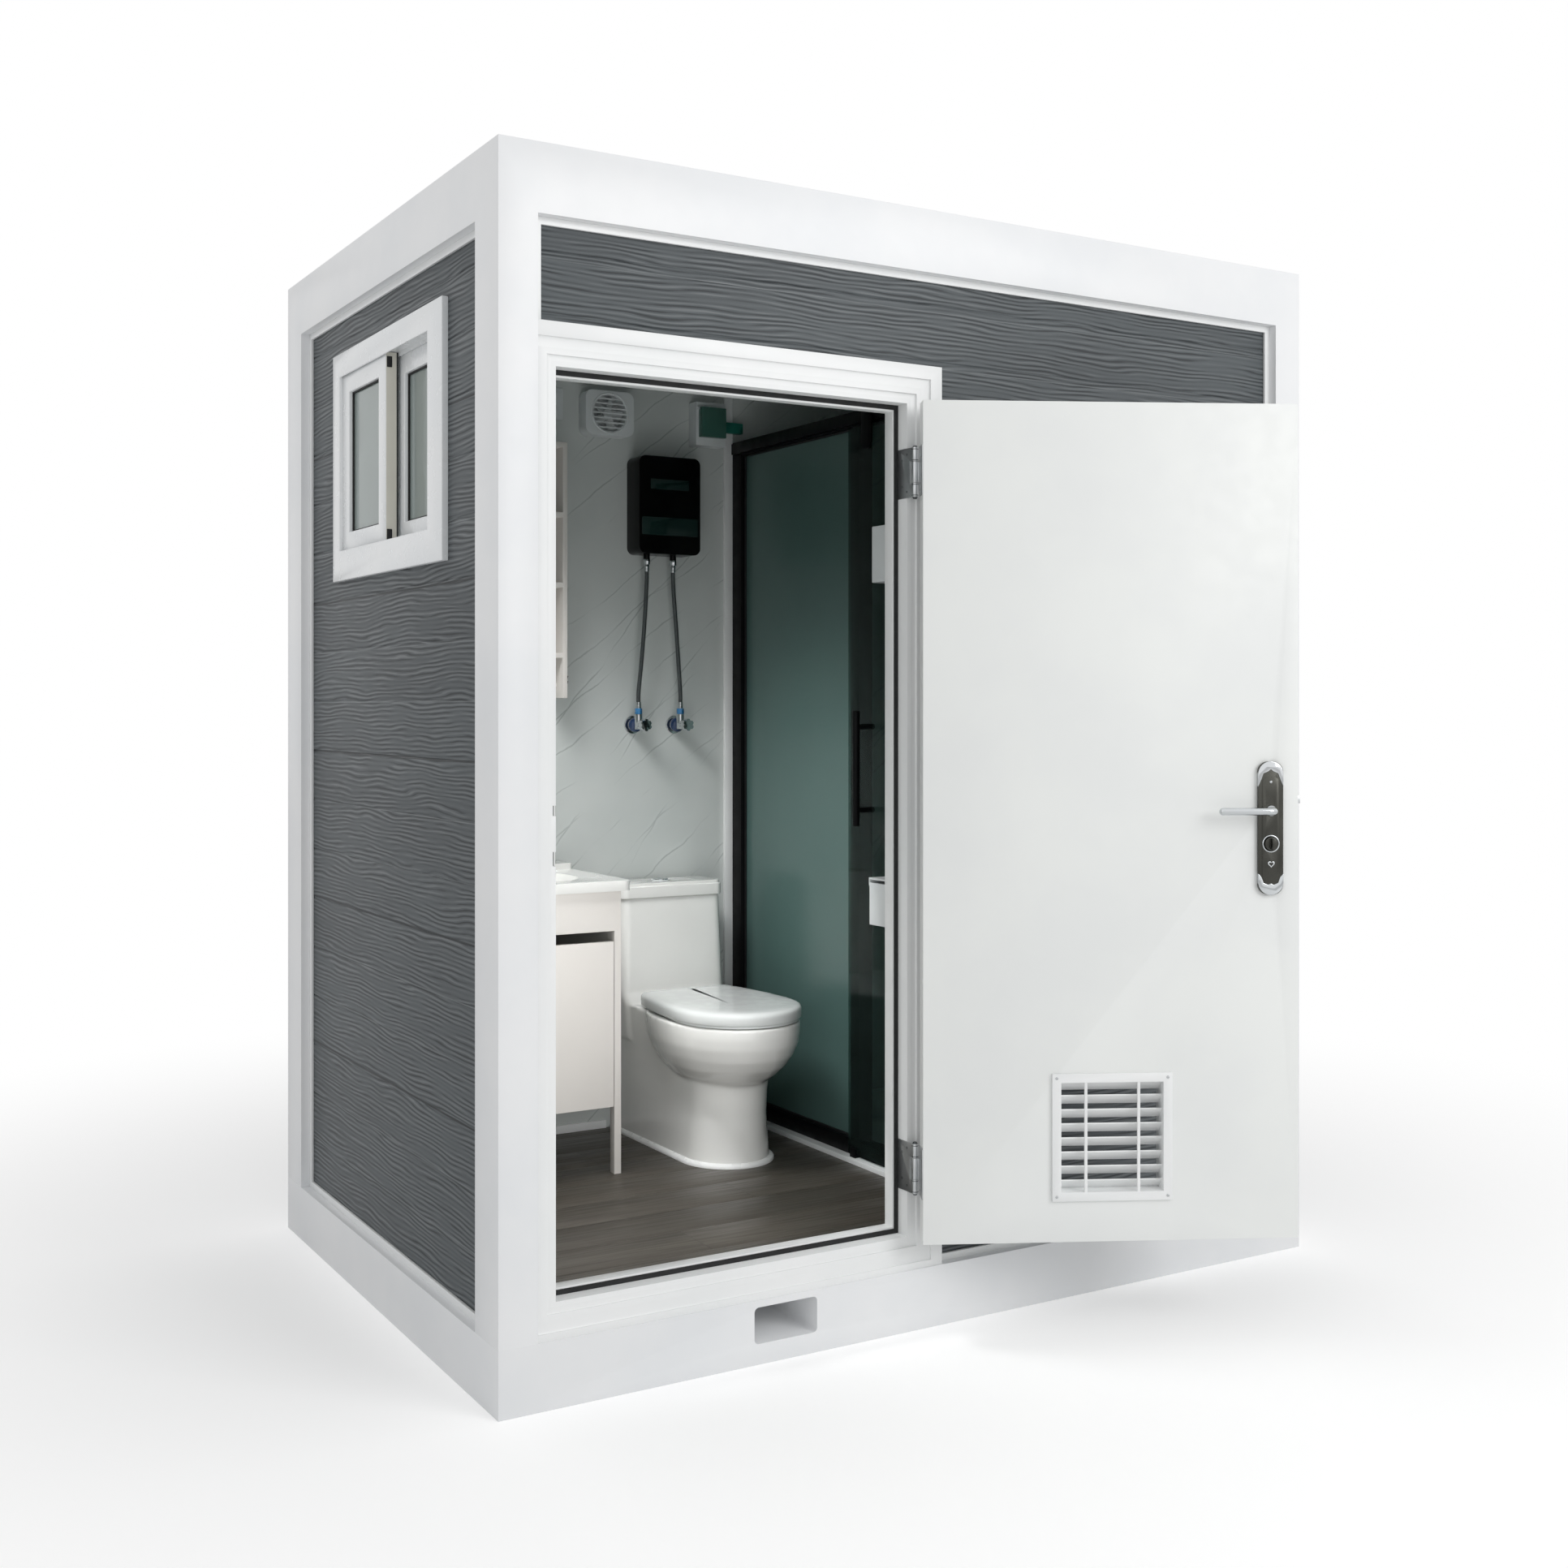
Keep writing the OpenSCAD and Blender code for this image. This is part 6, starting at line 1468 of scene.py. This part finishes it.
    def pan(self) -> None:
        """Blend skirt, bowl and tank into one glazed body and hollow the bowl."""
        skirt = ring_loft("toilet_pan_glazed", [
            self.outline(half, self.tip + setback, back_half, self.floor + z)
            for z, half, setback, back_half in self.skirt])
        bowl = ring_loft("bowl", [self.oval(*ring) for ring in self.bowl])
        tank = ring_loft("tank", [self.box_ring(*ring) for ring in self.tank])
        body = joined("toilet_pan_glazed", [skirt, bowl, tank])
        apply_modifier(body, "REMESH", mode="VOXEL", voxel_size=self.cell_mm * MM)
        apply_modifier(body, "SMOOTH", factor=0.6, iterations=7)
        take_out(body, ring_loft("well", [self.oval(*ring) for ring in self.well]))
        settle(smoothed(body, 50), CERAMIC, "cabin", ("toilet_pan",))
        self.posts()

    def posts(self) -> None:
        """Hinge posts of the seat with their cross pins."""
        parts = []
        for side in (-1, 1):
            x = self.middle + side * 47
            y, z = self.axis, self.axis_z
            parts += [rod("post", at(x, y, self.floor + self.rim - 3), at(x, y, z), 8),
                      rod("pin", at(x - 6 * side, y, z), at(x + 53 * side, y, z), 4)]
        posts = joined("seat_hinge_posts", parts)
        settle(rounded(posts, 1.0, 2), CHROME, "cabin")

    def foot(self) -> None:
        """White sealant lip where the foot stands on the floor."""
        half, setback, back_half = self.skirt[0][1:]
        lip = ring_loft("toilet_foot_lip", [self.outline(half + grow, self.tip + setback - grow,
                                                         back_half + grow * 0.7, self.floor + z)
                                            for z, grow in self.lip])
        settle(smoothed(lip, 40), SEALANT, "cabin")

    def seat_ring(self, inset: float, z: float) -> list[Vector]:
        """Outline that seat and cover share, with evenly spread points.

        Args:
            inset: How far inside the outer edge.
            z: Height above the ground.

        Returns:
            The ring's points.
        """
        half, tip = 168.0 - inset, self.tip + 4 + inset
        back, back_half = self.axis - 8 - inset / 3, 138.0 - inset
        middle = tip + half * 1.12
        points = self.front_arc(half, tip, 40)
        for k in range(1, 10):
            t = k / 10
            wide = half + (back_half - half) * t * t
            points.append((wide, middle + (back - 16 - middle) * t))
        corner = [(back_half, back - 16), (back_half - 4, back - 5), (back_half - 14, back)]
        rear = [(0.5 * back_half, back), (0.0, back), (-0.5 * back_half, back)]
        left = [(-x, y) for x, y in reversed(points[41:])]
        points += corner + rear + [(-x, y) for x, y in reversed(corner)] + left
        return [at(self.middle + x, y, z) for x, y in points]

    def cover(self) -> None:
        """Domed cover with a rolled edge that wraps over the seat and leaves its lugs free."""
        dome = ring_loft("toilet_cover_domed", [self.seat_ring(*ring) for ring in self.dome])
        take_out(dome, ring_loft("hollow", [self.cavity(z) for z in (538.0, 554.0)]))
        for side in (-1, 1):
            x = self.middle + side * 66
            take_out(dome, block("notch", at(x - 13, self.axis - 18, 552), at(x + 12.4, self.axis + 4, 579)))
        lugs = [rod("lug", at(self.middle + side * 78.5, self.axis, self.axis_z),
                    at(self.middle + side * 98.5, self.axis, self.axis_z), 8.0) for side in (-1, 1)]
        dome = joined("toilet_cover_domed", [dome, *[rounded(lug, 1.5) for lug in lugs]])
        settle(smoothed(dome, 50), SEAT, "cover", ("toilet_cover",))

    def cavity(self, z: float) -> list[Vector]:
        """Outline of the hollow under the cover, open at the back.

        Args:
            z: Height above the ground.

        Returns:
            The ring's points.
        """
        points = self.front_arc(164.0, self.tip + 8, 36)
        points += [(150.0, 1010.0), (134.0, self.axis), (-134.0, self.axis), (-150.0, 1010.0)]
        return [at(self.middle + x, y, z) for x, y in points]


@dataclass
class Vanity:
    """Wash basin on a cabinet, with its tap."""

    waste: tuple = (430.3, 1085.0, Span.of("basin_top").low + 10.0)
    tap: tuple = (625.3, 1293.0, Span.of("basin_top").high + 1.0)

    def build(self) -> None:
        """Dress the cabinet, basin and tap."""
        soften("vanity_cabinet", BOARD, 1.5)
        soften("vanity_door", BOARD, 1.5)
        soften("basin_top", CERAMIC, 4.0, 4)
        soften("tap_body", CHROME, 2.5)
        soften("tap_lever", CHROME, 1.8)
        self.drain()

    def drain(self) -> None:
        """Chrome waste ring with a cross at the bottom of the basin and a base ring under the tap."""
        x, y, z = self.waste
        ring = hoop("waste", at(x, y, z), UP, 19.0, 2.6)
        bars = [rounded(block("bar", at(x - u, y - v, z - 2.5), at(x + u, y + v, z)), 0.6)
                for u, v in ((16.5, 1.4), (1.4, 16.5))]
        base = hoop("tap_base", at(*self.tap), UP, 26.0, 2.0)
        settle(joined("waste_ring", [ring, *bars, base]), CHROME, "cabin")


@dataclass
class MirrorCabinet:
    """Wall cabinet with a mirror door, open shelves and a double hook."""

    case: Span = Span.of("mirror_cabinet")

    def build(self) -> None:
        """Dress the cabinet and its door and hang the hook."""
        soften("mirror_cabinet", BOARD, 1.2)
        soften("mirror_door", MIRROR, 1.0)
        self.hook()

    def hook(self) -> None:
        """Dark double hook on the side board below the shelves."""
        x, y, z = self.case.right, self.case.front + 60, self.case.low + 44
        plate = rounded(block("plate", at(x - 0.2, y - 11, z - 14), at(x + 3, y + 11, z + 14)), 1.0)
        arms = [tube("arm", [at(x + 2, y, z + up), at(x + 12, y, z + up - 2), at(x + 22, y, z + up + 1),
                             at(x + 26, y, z + up + 10)], 3.2, 14, 6) for up in (6.0, -8.0)]
        settle(joined("double_hook", [plate, *arms]), DARK_STEEL, "cabin")


@dataclass
class WaterHeater:
    """Small black water heater with braided hoses and two angle valves."""

    case: Span = Span.of("heater_case")
    pipes: Span = Span.of("heater_hoses")
    port_mm: float = 14.0
    ports: tuple = (958.5, 1040.5)
    valves: tuple = (Span.of("hot_valve_handle").middle[0], Span.of("cold_valve_handle").middle[0])
    valve_z: float = Span.of("heater_hoses").low - 30.0
    # Left, right, low and high edge of each lens as shares of the case, and its corner radius
    spans: tuple = ((0.18, 0.81, 0.66, 0.765, 2.0), (0.04, 0.955, 0.19, 0.375, 4.0))
    # Radius and place behind the door side of the collars' rings
    collar: tuple = ((8.0, 1321.0), (15.0, 1322.0), (19.0, 1326.0), (21.0, 1332.0), (20.0, 1339.0),
                     (16.0, 1344.0), (10.0, 1345.0))

    def build(self) -> None:
        """Dress the case and valves and model hoses, nuts and lenses."""
        soften("heater_case", BLACK_GLOSS, 14.0, 5)
        soften("angle_valves", CHROME, 1.0)
        soften("cold_valve_handle", CHROME, 2.5)
        soften("hot_valve_handle", CHROME, 2.5)
        self.lenses()
        self.hoses()
        self.collars()

    def lenses(self) -> None:
        """Short display and wide smoked band, let into the front of the case."""
        left, low, face = self.case.left, self.case.low + self.port_mm, self.case.front
        wide, tall = self.case.right - left, self.case.high - low
        parts = []
        for a, b, c, d, radius in self.spans:
            edge = rectangle(left + a * wide, low + c * tall, left + b * wide, low + d * tall, radius)
            parts.append(rounded(flat_piece("lens", edge, Facing.DOOR_SIDE, face - 0.9, face + 6), 0.5, 2))
        settle(joined("heater_lenses", parts), DARK_LENS, "cabin")

    def hoses(self) -> None:
        """Braided hoses from the heater down to the valves, with crimped ends and hexagon nuts."""
        hoses, ends, nuts = [], [], []
        y, top, foot = self.pipes.middle[1], self.pipes.high, self.pipes.low
        for port, valve in zip(self.ports, self.valves):
            path = [at(port, y, top), at(port, y, top - 26), at(port, y, top - 60)]
            path += [at(port + (valve - port) * t ** 1.15, y - 3 * math.sin(math.pi * t), top - 60 - 310 * t)
                     for t in (0.25, 0.5, 0.75, 1.0)]
            path += [at(valve, y, foot + 14), at(valve, y, foot)]
            hoses.append(tube("hose", path, 5.8, 20, 6))
            for x, z, way in ((port, top, -1), (valve, foot, 1)):
                ends.append(rod("ferrule", at(x, y, z + way * 12), at(x, y, z + way * 34), 7.4, tip_mm=6.9))
                ends += [hoop("crimp", at(x, y, z + way * k), UP, 6.9, 1.1) for k in (20, 27)]
            ends.append(rod("nut", at(port, y, top + 1), at(port, y, top - 14), 9.6, 6))
            nuts.append(rod("nut", at(valve, y, foot - 3), at(valve, y, foot + 16), 10.6, 6))
        settle(joined("braided_hoses", hoses), BRAID, "cabin", ("heater_hoses",))
        settle(rounded(joined("hose_ends", ends), 0.7, 2, 50), CHROME, "cabin")
        settle(rounded(joined("blue_nuts", nuts), 1.2, 2), BLUE_NUT, "cabin")

    def collars(self) -> None:
        """Round dark-blue collars behind the valves and a dark button in each handle."""
        parts, buttons = [], []
        for x in self.valves:
            turns = [math.tau * k / 40 for k in range(40)]
            rings = [[at(x + r * math.cos(turn), y, self.valve_z + r * math.sin(turn)) for turn in turns]
                     for r, y in self.collar]
            parts.append(ring_loft("collar", rings))
            button = rod("button", at(x, 1270.0, self.valve_z), at(x, 1266.2, self.valve_z), 6.0, tip_mm=5.2)
            buttons.append(rounded(button, 0.8, 2))
        settle(smoothed(joined("valve_collars", parts), 60), BLUE, "cabin")
        for name, button, body in zip(("hot_button", "cold_button"), buttons, ("hot_handle", "cold_handle")):
            settle(joined(name, [button]), BLUE, body)


@dataclass
class WallFittings:
    """Fan, socket, breaker box, soap dispenser and paper box."""

    fan: Span = Span.of("fan_housing")
    socket: Span = Span.of("socket_plate")
    breaker: Span = Span.of("breaker_box")
    soap: Span = Span.of("soap_dispenser")
    # Eye and level windows: inset from the dispenser's right side, drop below its top, radius, sides
    marks: tuple = ((42.0, 23.0, 3.0, 24), (57.0, 53.0, 2.0, 20), (57.0, 67.0, 2.0, 20),
                    (57.0, 81.0, 2.0, 20))

    def build(self) -> None:
        """Dress the small white fittings and add their rings, the dispenser's dark spots and nozzle, and the cable
        trunking.
        """
        soften("fan_housing", BOX_WHITE, 2.5, 3)
        soften("fan_rotor", BOX_WHITE, 0.6, 2)
        soften("socket_plate", BOX_WHITE, 2.0)
        soften("breaker_box", BOX_WHITE, 2.0)
        soften("breaker_cover", GREEN_LENS, 1.2)
        soften("soap_dispenser", BOX_WHITE, 5.0, 4)
        soften("paper_box", BOX_WHITE, 4.0, 4)
        soften("paper_box_lid", BOX_WHITE, 2.5, 3)
        self.rings()
        self.dark_parts()
        self.trunking()

    def rings(self) -> None:
        """Raised ring round the fan grille and round outlet of the socket."""
        plates = ((self.fan, 54.5, 2.6), (self.socket, 19.0, 1.6))
        parts = [hoop("ring", at(plate.middle[0], plate.front, plate.middle[2]), TOWARDS_BACK, radius, thick)
                 for plate, radius, thick in plates]
        settle(joined("fitting_rims", parts), BOX_WHITE, "cabin")

    def dark_parts(self) -> None:
        """Lock eye and level windows of the soap dispenser as near-black painted shade, and its chrome nozzle."""
        face = self.soap.rear
        parts = []
        for inset, down, radius, sides in self.marks:
            x, z = self.soap.right - inset, self.soap.high - down
            parts.append(rod("mark", at(x, face + 0.6, z), at(x, face - 2, z), radius, sides))
        # Painted shade: near-black discs stand for the dark inside the lock eye and level windows.
        settle(rounded(joined("dispenser_marks", parts), 0.3, 2), DARK_GAP, "cabin")
        x, y, z = self.soap.middle[0], face - 35, self.soap.low
        nozzle = rod("nozzle", at(x, y, z), at(x, y, z - 10), 8.0, 28, 5.0)
        settle(rounded(nozzle, 1.0, 2), CHROME, "cabin")

    def trunking(self) -> None:
        """Dark-green cable trunking from the breaker box to the corner above the shower screen."""
        x, rear, low = self.breaker.right, self.breaker.rear, self.breaker.low + 45
        duct = block("green_trunking", at(x - 17.5, rear - 23.5, low), at(x + 52, rear - 0.2, low + 30))
        settle(rounded(duct, 1.5), GREEN, "cabin")


@dataclass
class Shower:
    """Shower tray, black screen with a sliding door, and the column with its mixer."""

    pane: Span = Span.of("fixed_glass")
    drain: tuple = (1632.5, 900.0, 167.0)
    grate_mm: float = 44.0

    def build(self) -> None:
        """Dress the tray, screen, glass and column, and add gaskets and the floor grate."""
        soften("shower_tray", TRAY, 3.0)
        soften("shower_frame", BLACK_FRAME, 1.0, 2)
        paint("fixed_glass", FROSTED_GLASS)
        paint("shower_door_glass", CLEAR_GLASS)
        soften("shower_door", BLACK_FRAME, 1.0, 2)
        soften("shower_column", BLACK_FRAME, 1.5)
        soften("mixer_lever", BLACK_FRAME, 1.5)
        self.gasket()
        self.grate()

    def gasket(self) -> None:
        """Black glazing gasket round the fixed pane, towards the room."""
        pane = self.pane
        edge = rectangle(pane.front - 0.4, pane.low - 0.4, pane.rear + 0.4, pane.high + 0.4)
        hole = rectangle(pane.front + 5, pane.low + 5, pane.rear - 5, pane.high - 5, 2)
        ring = border("screen_gasket", edge, hole, Facing.LEFT_SIDE, pane.left - 5.5, pane.left - 1.7)
        settle(rounded(ring, 0.8, 2), RUBBER, "cabin")

    def grate(self) -> None:
        """Slotted steel grate over the shower drain."""
        x, y, z = self.drain
        disc = rod("shower_grate", at(x, y, z), at(x, y, z + 3), self.grate_mm, 56)
        for k in range(-3, 4):
            reach, row = math.sqrt((self.grate_mm - 6) ** 2 - (k * 10) ** 2), y + k * 10
            take_out(disc, block("slot", at(x - reach, row - 1.8, z - 2), at(x + reach, row + 1.8, z + 6)))
        settle(rounded(disc, 0.5, 2), SATIN_STEEL, "cabin")


@dataclass
class Studio:
    """Pale floor, soft light and the camera of the photo."""

    # Place, direction, lens and shift of the camera as fitted to the cabin's edges in the photo
    eye: Vector = field(default_factory=lambda: Vector((-2.286, -3.834, 1.333)))
    gaze: Vector = field(default_factory=lambda: Vector((0.51193, 0.85903, 0.0)))
    lens_mm: float = 40.76
    shift_y: float = -0.0494

    def build(self) -> None:
        """Set up the world, floor, lights, camera and view."""
        self.world()
        self.floor()
        self.light("key", Vector((1.8, -5.8, 3.3)), Vector((-0.2, 0.0, 1.2)), 3.0, 104.0)
        self.light("fill", Vector((-5.2, -3.0, 3.4)), Vector((-0.4, 0.0, 1.2)), 3.2, 8.0)
        self.indoor_light("doorway", at(515, 165, 700), Vector((0.1, 1.0, -0.2)), (0.66, 0.76), 3.5)
        self.indoor_light("window_sky", at(330, 737, 1930), Vector((0.66, 0.16, -1.35)), (0.5, 0.36), 4.1, 80)
        self.camera()
        bpy.context.scene.view_settings.view_transform = "Standard"

    def world(self) -> None:
        """Light from all round; the camera and clear reflections see white."""
        world = bpy.data.worlds.new("studio")
        bpy.context.scene.world = world
        world.use_nodes = True
        tree = world.node_tree
        tree.nodes.clear()
        path = add(tree, "ShaderNodeLightPath")
        seen = add(tree, "ShaderNodeMath", {0: path.outputs["Is Camera Ray"],
                                            1: path.outputs["Is Glossy Ray"]}, operation="MAXIMUM")
        seen = add(tree, "ShaderNodeMath", {0: seen.outputs[0], 1: path.outputs["Is Transmission Ray"]},
                   operation="MAXIMUM")
        dim = add(tree, "ShaderNodeBackground", {"Color": (1, 1, 1, 1), "Strength": 0.66})
        white = add(tree, "ShaderNodeBackground", {"Color": (1, 1, 1, 1), "Strength": 1.0})
        both = add(tree, "ShaderNodeMixShader", {0: seen.outputs[0], 1: dim.outputs[0], 2: white.outputs[0]})
        add(tree, "ShaderNodeOutputWorld", {"Surface": both.outputs[0]})

    @staticmethod
    def floor() -> None:
        """A white floor that keeps the cabin's shadow near it and melts into white further off."""
        bpy.ops.object.select_all(action="DESELECT")
        bpy.ops.mesh.primitive_plane_add(size=60, location=(0, 0, 0))
        plane = bpy.context.object
        plane.name = "studio_floor"
        made = bpy.data.materials.new("studio_floor")
        made.use_nodes = True
        tree = made.node_tree
        shader = tree.nodes["Principled BSDF"]
        shader.inputs["Base Color"].default_value = (0.93, 0.93, 0.93, 1)
        shader.inputs["Roughness"].default_value = 0.9
        shader.inputs["Specular IOR Level"].default_value = 0.1
        coords = add(tree, "ShaderNodeTexCoord").outputs["Object"]
        reach = add(tree, "ShaderNodeVectorMath", {0: coords}, operation="LENGTH")
        far = ramp(tree, reach.outputs["Value"], 1.5, 3.6)
        path = add(tree, "ShaderNodeLightPath")
        shown = add(tree, "ShaderNodeMath", {0: far, 1: path.outputs["Is Camera Ray"]}, operation="MULTIPLY")
        lift = add(tree, "ShaderNodeMath", {0: path.outputs["Is Camera Ray"], 1: 0.24}, operation="MULTIPLY")
        shader.inputs["Emission Color"].default_value = (1, 1, 1, 1)
        tree.links.new(lift.outputs[0], shader.inputs["Emission Strength"])
        white = add(tree, "ShaderNodeEmission", {"Color": (1, 1, 1, 1), "Strength": 1.0})
        both = add(tree, "ShaderNodeMixShader",
                   {0: shown.outputs[0], 1: shader.outputs[0], 2: white.outputs[0]})
        tree.links.new(both.outputs[0], tree.nodes["Material Output"].inputs["Surface"])
        plane.data.materials.append(made)

    @staticmethod
    def light(name: str, place: Vector, target: Vector, size: float, watts: float) -> bpy.types.Object:
        """Add a soft square light.

        Args:
            name: The light's name.
            place: Where it stands.
            target: What it points at.
            size: Side in metres.
            watts: Its power.

        Returns:
            The light.
        """
        bpy.ops.object.light_add(type="AREA", location=place)
        lamp = bpy.context.object
        lamp.name = name
        lamp.data.shape = "SQUARE"
        lamp.data.size = size
        lamp.data.energy = watts
        lamp.rotation_euler = (target - place).to_track_quat("-Z", "Y").to_euler()
        return lamp

    def indoor_light(self, name: str, place: Vector, way: Vector, sides: tuple[float, float],
                     watts: float, spread: float = 180.0) -> None:
        """Add a soft light in an opening of the room, unseen by the camera and by reflections.

        Args:
            name: The light's name.
            place: Its middle.
            way: The way it shines.
            sides: Width and height in metres.
            watts: Its power.
            spread: Angle of its beam in degrees.
        """
        lamp = self.light(name, place, place + way, sides[0], watts)
        lamp.data.spread = math.radians(spread)
        lamp.data.shape = "RECTANGLE"
        lamp.data.size_y = sides[1]
        lamp.visible_camera = False
        lamp.visible_glossy = False

    def camera(self) -> None:
        """Stand the camera where the photo was taken, level, with the picture shifted."""
        bpy.ops.object.camera_add(location=self.eye)
        camera = bpy.context.object
        camera.rotation_euler = self.gaze.to_track_quat("-Z", "Y").to_euler()
        camera.data.lens = self.lens_mm
        camera.data.sensor_width = 36.0
        camera.data.shift_y = self.shift_y
        camera.data.clip_end = 100
        bpy.context.scene.camera = camera


@dataclass
class Cabin:
    """The whole portable washroom."""

    parts: tuple = (Shell(), Doorway(), Door(), SlidingWindow(), Toilet(), Vanity(), MirrorCabinet(),
                    WaterHeater(), WallFittings(), Shower())

    def build(self) -> None:
        """Build and dress every sub-assembly."""
        for part in self.parts:
            part.build()


def main() -> None:
    """Dress the cabin and set up the studio."""
    logging.basicConfig(level=logging.INFO)
    Cabin().build()
    SCREW.tidy_up()
    Studio().build()
    bpy.ops.object.select_all(action="DESELECT")


if __name__ == "__main__":
    main()
